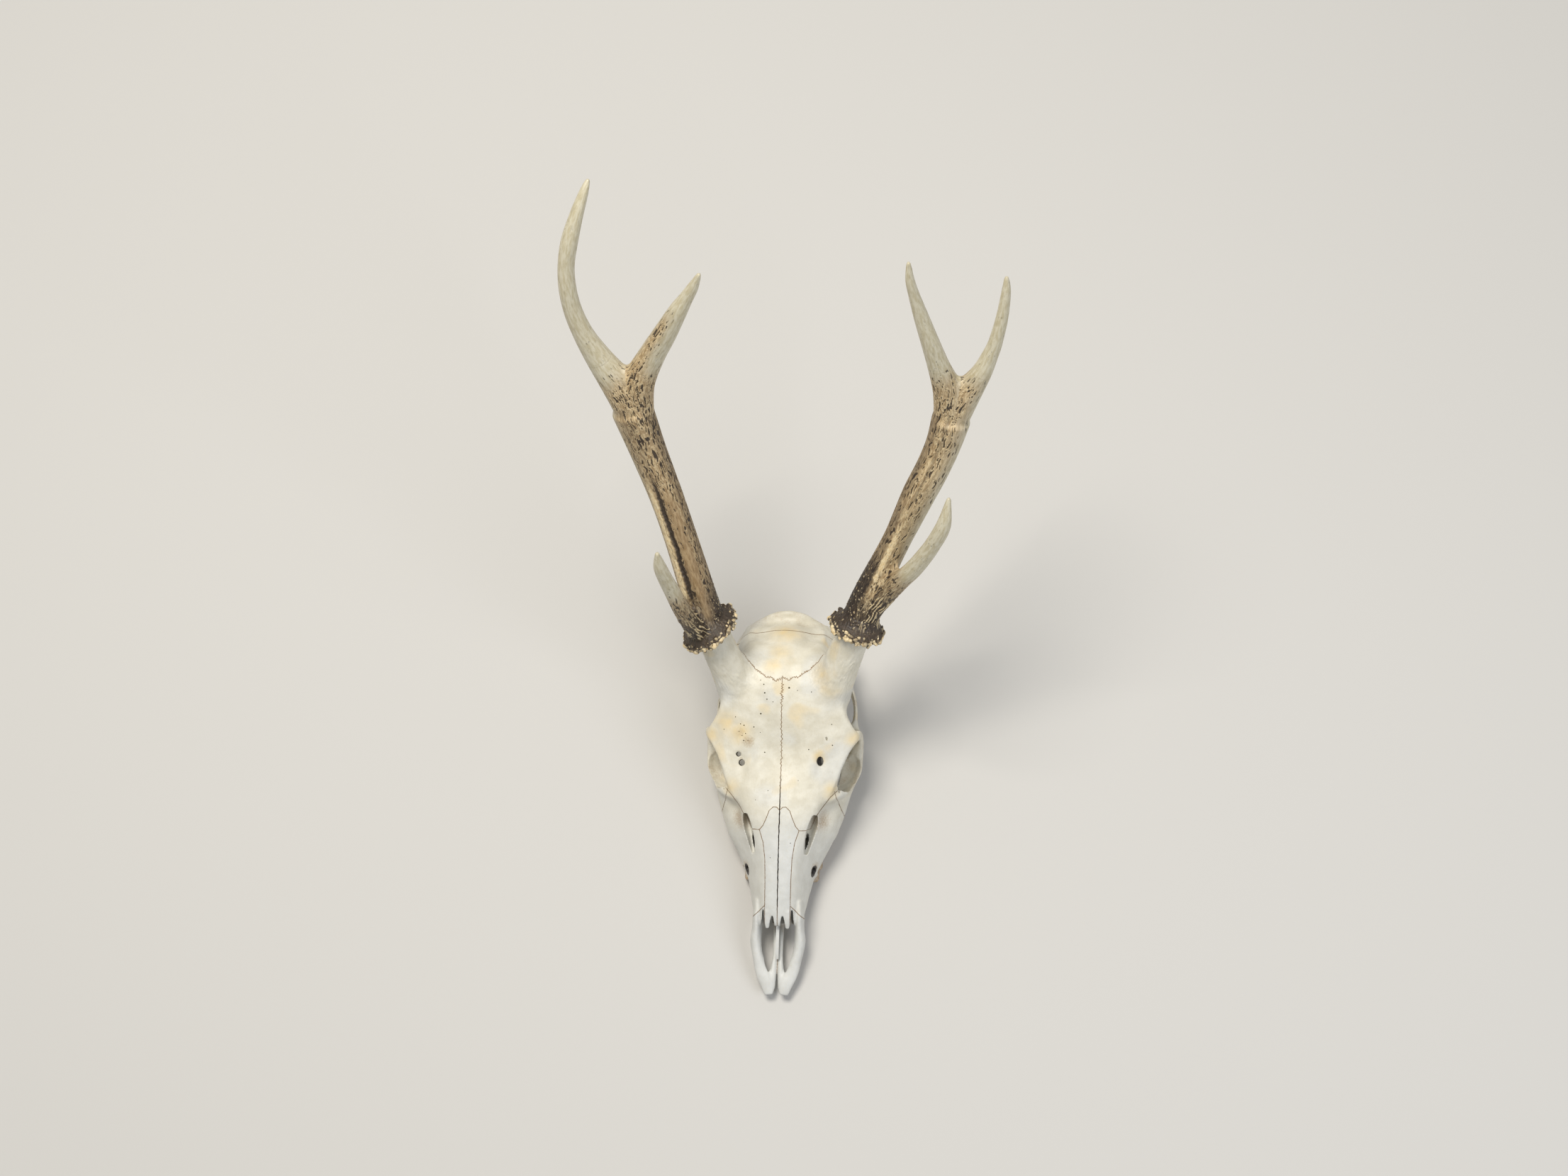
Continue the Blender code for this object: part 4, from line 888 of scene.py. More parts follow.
# %% [markdown]
# ## The clay skull
#
# The broad masses are fused first with a wide fillet, then the thin bones with a narrow one.
# Teeth and prongs come last, so that they stay crisp, and then the hollows are cut.

# %% Clay
def skull_clay():
    skull = filleted(join("skull", broad_masses()), BROAD_FILLET, COARSE_VOXEL)
    skull = filleted(join("skull", [skull] + fine_masses()), FILLET, COARSE_VOXEL)
    push(skull, STROKES)
    extras = [skull]
    extras += both(tube, "orbit_floor", ORBIT_FLOOR)
    extras += both(tube, "nasal_prong", NASAL_PRONG)
    extras += both(tube, "premaxilla", PREMAXILLA)
    extras += both(tube, "palate_prong", PALATE_PRONG)
    for row in TEETH:
        extras += both(tooth, "tooth", *row)
    skull = finer(join("skull", extras), SKULL_VOXEL, 4)
    push(skull, TEMPORAL_HOLLOWS)
    carve(skull, skull_cutters())
    finer(skull, SKULL_VOXEL, 2)
    return largest(skull)


skull = skull_clay()
print("skull skin:", len(skull.data.vertices), "points,", round(time.perf_counter() - started), "s")

# %% [markdown]
# ## The skin of the bone
#
# Old bone isn't smooth. The pedicles carry fine winding fibres that run up to the burr, the
# forehead has a faint grain along the face, and here and there a vessel leaves a pin-hole.
# Fibres need coordinates that are stretched along them, so these are worked out once here,
# and both the relief and the colour use them.

# %% Fibres and relief
def pedicle_frame(side):
    """The foot of a pedicle, its direction and its radius."""
    rows = PEDICLE[side]
    foot, top = Vector(rows[0][:3]), Vector(rows[-1][:3])
    return np.array(foot), np.array((top - foot).normalized()), rows[-1][3]


def fibres(co):
    """How much each point belongs to a pedicle, and coordinates stretched along the bone's grain."""
    grain = co * (1, 0.3, 1)
    share = np.zeros(len(co))
    for side in (-1, 1):
        foot, axis, radius = pedicle_frame(side)
        along = (co - foot) @ axis
        away = np.linalg.norm(co - foot - along[:, None] * axis, axis=1)
        mine = ramp(along, 4, 22) * (1 - ramp(away, radius + 5, radius + 13)) * (co[:, 2] > -30)
        grain[mine > 0.5] = (co - along[:, None] * axis * 0.72)[mine > 0.5]
        share = np.maximum(share, mine)
    return share, grain


def bone_relief(co):
    """How far the skin of the bone moves out at each point, in mm."""
    share, grain = fibres(co)
    curl = np.stack([noise(grain, 3.2, s) for s in (21, 22, 23)], axis=1)
    strands = noise(grain + 1.5 * curl, 1.5, 24)
    waves = 0.16 * noise(co, 9, 25) + 0.07 * noise(co, 3.4, 26)
    return waves + 0.24 * share * strands + 0.04 * strands


relief = bone_relief(coordinates(skull.data))
raise_skin(skull.data, relief)
print("relief from", round(relief.min(), 2), "to", round(relief.max(), 2), "mm")

# %% [markdown]
# ## Pin-holes
#
# Vessels leave holes of half a millimetre to a millimetre and a half, most of them left of
# the midline. Each row is a place and a radius: a ray finds the skin under the place, and a
# small tube bores into it there.

# %% Pin-holes
PIN_HOLES = [
    (-15.9, 231.2, 0.35), (-13.4, 228.2, 0.5), (-12.6, 222, 0.6), (-10.9, 217.4, 0.5),
    (-15.3, 206.6, 0.65), (-20.3, 196.6, 0.5), (-15.6, 192.6, 0.3), (-12.2, 178, 0.5),
    (-34.1, 203.6, 0.4), (-30.2, 198.6, 0.4), (-27.6, 197.6, 0.5), (-31.2, 193, 0.35),
    (-29, 190, 0.35), (-26.4, 191.6, 0.4), (-27.8, 186.4, 0.45), (-24.6, 186.6, 0.35),
    (5.2, 226.2, 0.8), (11.4, 224.4, 0.35), (21.6, 223.6, 0.4), (20.2, 181, 0.45),
    (36.6, 200, 0.4), (37.4, 184.6, 0.5), (-42.6, 194, 0.35), (-6.4, 215.6, 0.35),
    (-9, 150, 0.35), (13, 158, 0.3), (-18, 143, 0.3), (8.6, 112, 0.35), (-6, 101, 0.3),
]


def pin_holes(skin):
    tree = BVHTree.FromObject(skin, bpy.context.evaluated_depsgraph_get())

    def skin_height(x, y):
        return tree.ray_cast(Vector((x, y, 90)) * MM, Vector((0, 0, -1)))[0].z / MM

    bores = []
    for x, y, radius in PIN_HOLES:
        z = skin_height(x, y)
        bores.append(tube("pin_hole", [(x, y, z + 1.5, radius), (x, y, z - 0.5, radius),
                                       (x + 0.2, y, z - 2.4, radius * 0.7)], sides=10, steps=1))
    slit = skin_height(33.6, 188)
    bores.append(tube("slit", [(32.8, 190.6, slit + 1, 0.7), (33.2, 188.6, slit - 0.6, 0.9),
                               (34, 186.4, slit - 1.6, 0.6)], sides=12, steps=2))
    return bores


carve(skull, pin_holes(skull))
print("pin-holes:", len(PIN_HOLES), "and one slit")

# %% [markdown]
# ## Parting the bones
#
# The pedicle tops are cut level for the burrs, the underside is cut flat for the rest, and
# the saw sheets part the clay into bones. The sheets are kept as a search tree first: the
# distance to the nearest suture later stains the bone brown along it.

# %% Part the bones
def search_tree(objects):
    """A tree that finds the nearest place on any of the objects."""
    points, faces = [], []
    for obj in objects:
        base = len(points)
        points += [v.co.copy() for v in obj.data.vertices]
        faces += [[base + i for i in f.vertices] for f in obj.data.polygons]
    return BVHTree.FromPolygons(points, faces)


def open_slit():
    """The gap down the midline of the face: a ragged ribbon a millimetre wide."""
    dice = random.Random(5)
    rows = []
    y = 46.0
    while y < 162:
        half = float(np.interp(y, (54, 80, 110, 136, 158, 163), (0.45, 0.5, 0.42, 0.5, 0.3, 0.08)))
        rows.append((dice.uniform(-0.16, 0.16), y, 4, half * dice.uniform(0.75, 1.3), 8))
        y += 1.3
    return tube("open_slit", rows, steps=1, sides=8)


carve(skull, above_pedicles() + [ground_block(), open_slit()])
sheets = skull_kerfs()
SEAMS = search_tree(sheets)
carve(skull, sheets)
print("skull cut into bones by", len(sheets), "sheets after", round(time.perf_counter() - started), "s")

# %% [markdown]
# ## Colours as nodes
#
# The surfaces are procedural: noise gives the fine mottling, and maps, stored as mesh
# attributes, say where each colour belongs. One helper adds any node with its settings and
# links, and a stack of layers, each a mask and a colour, is painted from the bottom up.

# %% Node helper
def srgb(code):
    """A shader colour from a hex code as seen on screen."""
    values = [int(code[i:i + 2], 16) / 255 for i in (1, 3, 5)]
    return tuple(v / 12.92 if v <= 0.04045 else ((v + 0.055) / 1.055) ** 2.4 for v in values) + (1.0,)


def add(tree, kind, inputs=None, **settings):
    """A node with its settings, and its inputs set to constants or linked to sockets."""
    node = tree.nodes.new(kind)
    for key, value in settings.items():
        setattr(node, key, value)
    for key, value in (inputs or {}).items():
        if isinstance(value, bpy.types.NodeSocket):
            tree.links.new(value, node.inputs[key])
        else:
            node.inputs[key].default_value = value
    return node


def layered(tree, colour, layers):
    """Paints layers over a colour. Each is (factor, low, high, most, hex or socket)."""
    for factor, low, high, most, over in layers:
        share = add(tree, "ShaderNodeMapRange", {"Value": factor, "From Min": low, "From Max": high,
                                                 "To Max": most}).outputs[0]
        over = srgb(over) if isinstance(over, str) else over
        colour = add(tree, "ShaderNodeMix", {0: share, 6: colour, 7: over}, data_type="RGBA").outputs[2]
    return colour


def surface(name):
    """A new material, its node tree and its shader."""
    mat = bpy.data.materials.new(name)
    mat.use_nodes = True
    return mat, mat.node_tree, mat.node_tree.nodes["Principled BSDF"]


def finish(tree, shader, colour, roughness, bumps, strength):
    """Links the colour, and a bump out of two patterns, to the shader of bone or antler."""
    tree.links.new(colour, shader.inputs["Base Color"])
    shader.inputs["Roughness"].default_value = roughness
    shader.inputs["IOR"].default_value = BONE_IOR
    height = add(tree, "ShaderNodeMath", dict(enumerate(bumps)), operation="ADD").outputs[0]
    bump = add(tree, "ShaderNodeBump", {"Height": height, "Strength": strength, "Distance": BUMP_DEPTH * MM})
    tree.links.new(bump.outputs[0], shader.inputs["Normal"])


BONE_IOR = 1.54
BUMP_DEPTH = 0.3
print("bone and antler: IOR", BONE_IOR, "and bumps of", BUMP_DEPTH, "mm")

# %% [markdown]
# ## Bleached bone
#
# Bone that was boiled and bleached is ivory with a dull sheen: warm where fat stayed in it,
# faintly blue where it is thin. Dust stays in pores and sutures as thin brown lines. The
# mottling is 8 mm wide, and the pores and the fibres are about a millimetre apart. The
# grain attribute is in millimetres, and the object's own coordinates are in metres.

# %% Bone material
MOTTLE = 25 / 3
PORE = 10 / 9
FIBRE = 10 / 9


def bleached_bone(name, base, light):
    mat, tree, shader = surface(name)
    tints, lines = (add(tree, "ShaderNodeSeparateXYZ", {0: add(tree, "ShaderNodeAttribute",
                        attribute_name=key).outputs["Vector"]}).outputs for key in ("bone_a", "bone_b"))
    grain = add(tree, "ShaderNodeAttribute", attribute_name="grain").outputs["Vector"]
    place = add(tree, "ShaderNodeTexCoord").outputs["Object"]
    broad, fine, fibre = (
        add(tree, "ShaderNodeTexNoise", {"Vector": over, "Scale": 1 / size, "Detail": detail}).outputs[0]
        for over, size, detail in ((place, MOTTLE * MM, 4.0), (place, PORE * MM, 3.0), (grain, FIBRE, 4.0)))
    dusty = add(tree, "ShaderNodeMath", {0: fine, 1: 0.5, 2: lines[1]}, operation="MULTIPLY_ADD").outputs[0]
    worn = add(tree, "ShaderNodeMath", {0: tints[0], 1: broad}, operation="MULTIPLY").outputs[0]
    # brown stains, worn teeth and a browning with depth, mottled by the fine noise
    stained = add(tree, "ShaderNodeMath", {0: tints[2], 1: fine}, operation="MULTIPLY").outputs[0]
    colour = layered(tree, srgb(base), [
        (broad, 0.38, 0.62, 1.0, light), (tints[1], 0.0, 1.0, 0.5, "#c3c9cf"),
        (worn, 0.05, 0.5, 0.75, "#e3c88c"), (fine, 0.56, 0.74, 0.22, "#cdbf9c"),
        (fibre, 0.56, 0.76, 0.2, "#bcae8a"), (stained, 0.1, 0.5, 0.8, "#9a7a4c"),
        # the last layer is painted shade: near black deep inside the holes
        (dusty, 0.6, 0.34, 0.8, "#8d6c42"), (lines[2], 0.2, 0.9, 0.97, "#1d1611")])
    finish(tree, shader, colour, 0.5, (fine, fibre), 0.3)
    return mat


BONE = bleached_bone("bleached_bone", "#d3cdba", "#dfdac9")
MUZZLE = bleached_bone("thin_muzzle_bone", "#cfccbf", "#dad7cb")
print("materials:", BONE.name, MUZZLE.name)

# %% [markdown]
# ## Antler
#
# Antler is bone stained by bark: tan with umber shades, almost black in its grooves, and
# rubbed to cream on every crest and to a pale polish on the points. Streaks run along it,
# about one and a half millimetres wide and four to five times as long.

# %% Antler material
STREAK = 10 / 7
HAIR = 5 / 11
STREAK_STRETCH = 0.22


def antler_horn(name, roughness):
    mat, tree, shader = surface(name)
    zones, marks = (add(tree, "ShaderNodeSeparateXYZ", {0: add(tree, "ShaderNodeAttribute",
                        attribute_name=key).outputs["Vector"]}).outputs for key in ("horn_a", "horn_b"))
    grain = add(tree, "ShaderNodeAttribute", attribute_name="grain").outputs["Vector"]
    along = add(tree, "ShaderNodeVectorMath", {0: grain, 1: (1, 1, STREAK_STRETCH)},
                operation="MULTIPLY").outputs[0]
    streaks, fine = (
        add(tree, "ShaderNodeTexNoise", {"Vector": along, "Scale": 1 / size, "Detail": detail}).outputs[0]
        for size, detail in ((STREAK, 4.0), (HAIR, 3.0)))
    polish = layered(tree, srgb("#cfc8b0"), [(streaks, 0.4, 0.62, 1.0, "#bdb394"),
                                             (fine, 0.6, 0.75, 0.35, "#a48d63")])
    gloom = layered(tree, srgb("#251e18"), [(fine, 0.42, 0.7, 1.0, "#4a3b2c")])
    cream = layered(tree, srgb("#e6d6b0"), [(fine, 0.4, 0.65, 0.8, "#cfae76")])
    colour = layered(tree, srgb("#b89e76"), [
        (streaks, 0.42, 0.6, 0.7, "#8d7047"), (fine, 0.55, 0.7, 0.45, "#584428"),
        (zones[1], 0.0, 1.0, 0.85, "#4f3e2b"), (zones[0], 0.0, 1.0, 1.0, polish),
        (zones[2], 0.0, 1.0, 0.93, gloom), (marks[1], 0.0, 1.0, 0.95, cream),
        (marks[0], 0.0, 1.0, 0.9, "#271d15"), (marks[2], 0.1, 0.8, 1.0, cream)])
    finish(tree, shader, colour, roughness, (fine, streaks), 0.35)
    return mat


BURR = antler_horn("burr_antler", 0.6)
HORN = antler_horn("grooved_antler", 0.5)
PALE = antler_horn("rubbed_antler", 0.4)
print("materials:", BURR.name, HORN.name, PALE.name)

# %% [markdown]
# ## The antler's own coordinates
#
# Grooves and ridges run along an antler, so its surface is described by the distance along
# each branch and the angle round it, with 0 at the front and 90 at the right of the picture.

# %% Branch coordinates
BEAM = {
    -1: [(-52.2, 268, 27, 13.4), (-59.8, 293.6, 42, 12.8), (-70.3, 330.7, 66, 12),
         (-80, 361.7, 86, 12.1), (-91.1, 392.5, 108, 13), (-100.7, 420.8, 132, 14.9)],
    1: [(54.4, 271.5, 27, 12.8), (61.5, 292.7, 40, 11.8), (81.3, 331.7, 66, 10.3),
         (90, 349.5, 80, 10.9), (98.5, 367.2, 94, 11.9), (107.9, 384.8, 108, 12.1),
         (115.3, 401.6, 120, 12.5), (120.6, 418.7, 133, 13.8)],
}
TOP = {
    -1: [(-95.7, 407.8, 121, 11.3), (-105.8, 431.7, 142, 12.5), (-120.3, 452.7, 163, 9.4),
         (-128.9, 467.1, 179, 7.4), (-134.5, 481.5, 194, 6.6), (-136.8, 495.8, 208, 6.2),
         (-136.3, 510.2, 220, 5.9), (-132.9, 524.6, 231, 6), (-127.7, 539.4, 241, 4.9),
         (-122, 553.8, 249, 3.5), (-118.3, 563.1, 253, 1.7)],
    1: [(118.1, 410.2, 126, 10.5), (129.8, 433.3, 145, 10.2), (140.5, 448.4, 161, 7.3),
         (146.2, 459.6, 172, 5.8), (149.5, 467.6, 180, 5.1), (153.6, 483.4, 195, 4.4),
         (155.8, 499, 210, 3.4), (155.8, 508.1, 218.8, 1.7)],
}
INNER = {
    -1: [(-96.1, 415.8, 128, 10.7), (-94.5, 436.8, 148, 11.3), (-83.9, 454.8, 166, 9.4),
         (-73.8, 468, 182, 8.3), (-63.1, 482.4, 200, 6.6), (-57.1, 490, 209, 5.1),
         (-51.5, 497, 218, 4), (-46.2, 504.9, 229, 1.7)],
    1: [(118.4, 413.2, 128, 10.3), (117.8, 435.3, 148, 10.2), (111.5, 451.9, 168, 7.8),
         (105.9, 466.1, 186, 6.5), (99.9, 481.5, 204, 5.3), (95.1, 494.7, 220, 4),
         (92.5, 503.7, 231, 3.3), (91.7, 513.9, 241.9, 1.7)],
}
BROW_TINE = {
    -1: [(-54.3, 262.6, 28, 8.6), (-58.9, 266.1, 40, 7.2), (-64.2, 272.5, 54, 6.6),
         (-69.3, 283.2, 72, 6.3), (-73.8, 294.7, 90, 5.9), (-77.2, 303.5, 106, 5.4),
         (-79.7, 311.8, 120, 4.7), (-80.4, 321.1, 133.1, 1.7)],
    1: [(57.4, 273, 30, 9.2), (65.1, 284.1, 40, 7.8), (76.3, 296.6, 54, 7.2),
         (86.9, 306.9, 70, 6.8), (95.6, 314.6, 84, 6.6), (103.1, 323.2, 98, 6.3),
         (109.3, 331.5, 110, 5.9), (117, 345.1, 127, 5.4), (120.5, 363.8, 141.6, 1.7)],
}


def branch(rows, start=0.0):
    """A branch's centre line with a frame at each sample: front faces out of the forehead."""
    rows = np.array(smooth_path(rows, 10))
    line = rows[:, :3]
    tangent = np.gradient(line, axis=0)
    tangent /= np.linalg.norm(tangent, axis=1)[:, None]
    front = np.array((0.0, 0.0, 1.0)) - tangent * tangent[:, 2:]
    front /= np.linalg.norm(front, axis=1)[:, None]
    steps = np.linalg.norm(np.diff(line, axis=0), axis=1)
    return {"line": line, "radius": rows[:, 3], "tangent": tangent, "front": front,
            "right": np.cross(tangent, front), "along": start + np.append(0, np.cumsum(steps))}


BATCH = 20000  # points at a time, so that the table of distances stays small


def surface_coordinates(co, branches):
    """For each point its branch, the distance along it, the angle from the front and the radius."""
    best = np.full(len(co), np.inf)
    which = np.zeros(len(co), int)
    along, angle, radius = (np.zeros(len(co)) for _ in range(3))
    for k, b in enumerate(branches):
        for low in range(0, len(co), BATCH):
            away = co[low:low + BATCH, None] - b["line"][None]
            span = np.sqrt((away ** 2).sum(2))
            near = (span - b["radius"][None]).argmin(1)
            picked = away[np.arange(len(near)), near]
            gap = span[np.arange(len(near)), near] - b["radius"][near]
            mine = np.flatnonzero(gap < best[low:low + BATCH])
            at, spot, to = near[mine], picked[mine], mine + low
            side = (spot * b["right"][at]).sum(1)
            ahead = (spot * b["front"][at]).sum(1)
            best[to] = gap[mine]
            which[to] = k
            along[to] = b["along"][at] + (spot * b["tangent"][at]).sum(1)
            angle[to] = np.degrees(np.arctan2(side, ahead))
            radius[to] = b["radius"][at]
    return which, along, angle, radius


print("beams are", [round(branch(BEAM[side])["along"][-1]) for side in BEAM], "mm long up to the fork")

# %% [markdown]
# ## Burr and pearls
#
# The burr is the knobbly collar at the foot of an antler: a flared disc with rows of
# pearls. Their tips are rubbed pale, so each pearl's place is kept for the colour.

# %% Pearl tree
PEARL_INPUTS = [("Count", "NodeSocketInt"), ("Reach", "NodeSocketFloat"), ("Smallest", "NodeSocketFloat"),
                ("Largest", "NodeSocketFloat"), ("Seed", "NodeSocketInt"), ("Material", "NodeSocketMaterial")]


def pearl_rows():
    """A node tree: one ring of round pearls, each moved and sized at random."""
    tree = bpy.data.node_groups.new("pearl_rows", "GeometryNodeTree")
    for name, kind in PEARL_INPUTS:
        tree.interface.new_socket(name=name, in_out="INPUT", socket_type=kind)
    tree.interface.new_socket(name="Geometry", in_out="OUTPUT", socket_type="NodeSocketGeometry")
    given = add(tree, "NodeGroupInput").outputs
    ring = add(tree, "GeometryNodeMeshCircle", {"Vertices": given["Count"], "Radius": given["Reach"]})
    wander = add(tree, "FunctionNodeRandomValue", {"Seed": given["Seed"]}, data_type="FLOAT_VECTOR")
    wander.inputs[0].default_value = (-0.9 * MM, -0.9 * MM, -1.7 * MM)
    wander.inputs[1].default_value = (0.9 * MM, 0.9 * MM, 1.3 * MM)
    places = add(tree, "GeometryNodeSetPosition", {"Geometry": ring.outputs[0], "Offset": wander.outputs[0]})
    pearl = add(tree, "GeometryNodeMeshUVSphere", {"Segments": 8, "Rings": 6, "Radius": 1.0})
    size = add(tree, "FunctionNodeRandomValue",
               {2: given["Smallest"], 3: given["Largest"], "Seed": given["Seed"]})
    set_out = add(tree, "GeometryNodeInstanceOnPoints",
                  {"Points": places.outputs[0], "Instance": pearl.outputs[0], "Scale": size.outputs[1]})
    real = add(tree, "GeometryNodeRealizeInstances", {0: set_out.outputs[0]})
    dressed = add(tree, "GeometryNodeSetMaterial", {0: real.outputs[0], "Material": given["Material"]})
    add(tree, "NodeGroupOutput", {"Geometry": dressed.outputs[0]})
    return tree


def pearl_ring(tree, place, **sizes):
    """One evaluated ring of pearls as a mesh object, put in its place, and each pearl's centre and size."""
    obj = mesh_object("pearls", [], [])
    mod = obj.modifiers.new("pearls", "NODES")
    mod.node_group = tree
    for item in tree.interface.items_tree:
        if item.name in sizes:
            mod[item.identifier] = sizes[item.name]
    mesh = bpy.data.meshes.new_from_object(obj.evaluated_get(bpy.context.evaluated_depsgraph_get()))
    obj.modifiers.clear()
    obj.data = mesh
    mesh.transform(place)
    balls = coordinates(mesh).reshape(sizes["Count"], -1, 3)
    centres = balls.mean(axis=1)
    radii = np.linalg.norm(balls - centres[:, None], axis=2).max(axis=1)
    return obj, np.column_stack([centres, radii])


PEARLS = pearl_rows()
print("pearl tree:", len(PEARLS.nodes), "nodes and", len(PEARL_INPUTS), "inputs")

# %% [markdown]
# ## The burr
#
# Under the pearls the burr is a disc with a sharp rim that narrows to the beam. Three
# crowded rings of pearls sit on the rim and a few larger ones stand out, so no two burrs
# are alike. Each ring's row holds its count, its inset and lift, and its smallest and
# largest pearl.

# %% Burr
PEARL_RINGS = [(42, 0.6, -0.6, 0.9, 1.9), (48, 0.7, 1.1, 0.8, 1.7), (40, 2.4, 2.9, 0.6, 1.3),
               (9, 0.2, 0.2, 1.9, 2.5)]


def coronet(side):
    """The burr: a flared disc with rings of pearls. Also each pearl's centre, size and tone."""
    axis = antler_axis(side)
    centre = Vector(CORONET[side])
    radius = CORONET_RADIUS[side]
    made = [drum("burr_disc", side, [(-2.6, radius - 3), (0, radius - 0.4), (3.2, radius - 2.6),
                                     (8, 14.6), (13, 12.6)], 48)]
    frame_in = axis.to_track_quat("Z", "Y").to_matrix().to_4x4()
    pearls = []
    for k, (count, inset, lift, small, large) in enumerate(PEARL_RINGS):
        place = Matrix.Translation((centre + axis * lift) * MM) @ frame_in
        ring, rows = pearl_ring(PEARLS, place, Count=count, Reach=(radius - inset) * MM, Seed=7 * k + side,
                                Smallest=small * MM, Largest=large * MM, Material=BURR)
        made.append(ring)
        pearls.append(rows)
    pearls = np.concatenate(pearls)
    return made, np.column_stack([pearls, np.random.default_rng(side + 3).random(len(pearls))])


print("burr rings:", len(PEARL_RINGS), "with", sum(ring[0] for ring in PEARL_RINGS), "pearls a side")

# %% [markdown]
# ## What each part of the horn is like
#
# A sika antler is dark and deeply grooved low down and on its inner side, and rubbed smooth
# and pale on its outer side and its points. The maps below say for every point how pale,
# warm, dark, grooved or crested it is, and how far the skin moves in or out there. In them
# s is the distance along a branch in mm, and a is the angle round it in degrees.

# %% Horn maps
FORK_OVERLAP = 34  # the distance along an arm is counted from this far below the beam's end
BRANCH_APART = 37.0  # so that no two branches get the same pattern


def horn_zones(side, which, s, a, blotch, length):
    """Pale, umber and rough shares, the smooth ridge, and the dark foot of the beam."""
    on_beam, on_top, on_inner, on_brow = (which == k for k in range(4))
    ragged = s + 8 * blotch
    past_fork = s - length + 6 * blotch
    low = 1 - ramp(ragged, 16, 46)
    if side < 0:
        pale = hump(a, -105, 42) * ramp(ragged, 45, 110)
        umber = 0.42 + 0.58 * hump(a, 74, 46) + 0.3 * hump(a, -25, 30) - 0.3 * hump(a, 14, 18)
        rough = 0.62 + 0.3 * hump(a, 70, 40) - 0.56 * hump(a, 14, 21) * (1 - ramp(s, 92, 150))
        ridge = hump(a, 14, 18) * ramp(s, 6, 20)
        worked = hump(a, -28, 36) * (1 - ramp(s, length + 52, length + 78))
    else:
        edge = -8 - 14 * ramp(s, 60, 160)
        pale = hump(a, 100, 66) * ramp(ragged, 46, 90)
        umber = 0.15 + 0.85 * (1 - ramp(a, edge - 22, edge + 8)) * (a > -150)
        rough = 0.62 + 0.25 * (1 - ramp(a, edge - 20, edge))
        ridge = 0.6 * hump(a, edge + 14, 13) * ramp(s, 46, 56)
        worked = 0 * a
        low = np.maximum(low, (1 - ramp(ragged, 44, 74)) * (1 - ramp(a, -20, 6)))
    pale = np.where(on_top, np.maximum(pale, ramp(past_fork, 0, 30)), pale)
    pale = np.where(on_inner, np.maximum(pale * (1 - worked), ramp(past_fork, 2, 28) * (1 - worked)), pale)
    pale = np.clip(np.where(on_brow, ramp(ragged, 52, 88), pale), 0, 1)
    low = np.where(on_beam, low, np.where(on_brow, 1 - ramp(ragged, 26, 66), 0))
    ridge = np.where(on_beam, ridge, 0)
    low = low * (1 - 0.8 * ridge * (side < 0))
    umber = np.where(on_beam, umber, np.where(on_brow, 0.6 * (1 - ramp(ragged, 60, 110)), 0.35))
    rough = np.where(on_beam, rough, np.where(on_brow, 0.6, 0.7)) * (1 - 0.88 * pale)
    return pale, np.clip(umber, 0, 1), rough, ridge, low


def horn_grooves(side, which, a, bent, zones):
    """Dark grooves, cream crests and beads, and the relief that goes with them."""
    _, umber, rough, _, low = zones
    dash = noise(bent, (0.95, 0.95, 6.5), 5) + 0.45 * noise(bent, (2.0, 2.0, 18), 17)
    level = 0.62 - 0.66 * rough
    groove = ramp(dash, level, level + 0.2) * ramp(rough, 0.04, 0.2)
    crest = 0.8 * ramp(dash, level - 0.5, level - 0.15) * (1 - groove) * ramp(rough, 0.25, 0.6)
    crest *= 1 - 0.75 * umber
    relief = -0.5 * groove + 0.12 * crest

    streak = noise(bent, (1.3, 1.3, 14), 6)
    long_side = np.where(which == 3, 1.0, hump(a, 60 * side, 55)) * low
    cords = ramp(streak, 0.12, 0.34) * long_side
    grit = noise(bent, (1.1, 1.1, 1.7), 7)
    beads = ramp(grit, 0.46, 0.6) * low * (1 - cords)
    hollow = ramp(-grit, -0.1, 0.3) * low * (1 - cords)
    crest = crest * (1 - low) + np.maximum(0.9 * cords, 0.85 * beads)
    groove = np.maximum(groove * (1 - crest), 0.6 * hollow)
    relief = relief * (1 - 0.6 * low) + 0.5 * cords + 0.35 * beads - 0.22 * hollow
    return groove, crest, relief


def left_furrow(which, s, a, grain, groove, crest, relief):
    """The left beam's deep furrow with a smooth cream bank beside it."""
    sway = 3 * noise(grain, (40, 40, 16), 8) + 4 * noise(grain, (40, 40, 2.6), 9)
    reach_in = ramp(s, 26, 40) * (1 - ramp(s, 104, 165)) * (which == 0)
    trench = hump(a + sway, -22, 9) * reach_in
    bank = hump(a + sway * 0.5, -46, 15) * reach_in
    relief = relief * (1 - 0.7 * bank) + 0.7 * bank - 1.6 * trench
    groove = np.maximum(groove * (1 - 0.85 * bank), ramp(trench, 0.25, 0.6))
    crest = np.maximum(crest * (1 - trench), ramp(bank, 0.3, 0.7) * (1 - groove))
    return groove, crest, relief


def right_bank(which, s, a, grain, groove, crest, relief):
    """The right beam's cream bank above the brow tine, and its faint seam higher up."""
    sway = 5 * noise(grain, (40, 40, 3.2), 9)
    bank = hump(a + sway, 6 - 0.12 * s, 12) * ramp(s, 44, 52) * (1 - ramp(s, 84, 125)) * (which == 0)
    seam = hump(a + 5 * noise(grain, (40, 40, 12), 8), -4, 6) * ramp(s, 105, 130) * (which == 0)
    relief = relief * (1 - 0.6 * bank) + 0.5 * bank - 0.6 * seam
    groove = np.maximum(groove * (1 - 0.8 * bank), 0.45 * seam)
    return groove, np.maximum(crest, ramp(bank, 0.3, 0.7) * (1 - groove)), relief


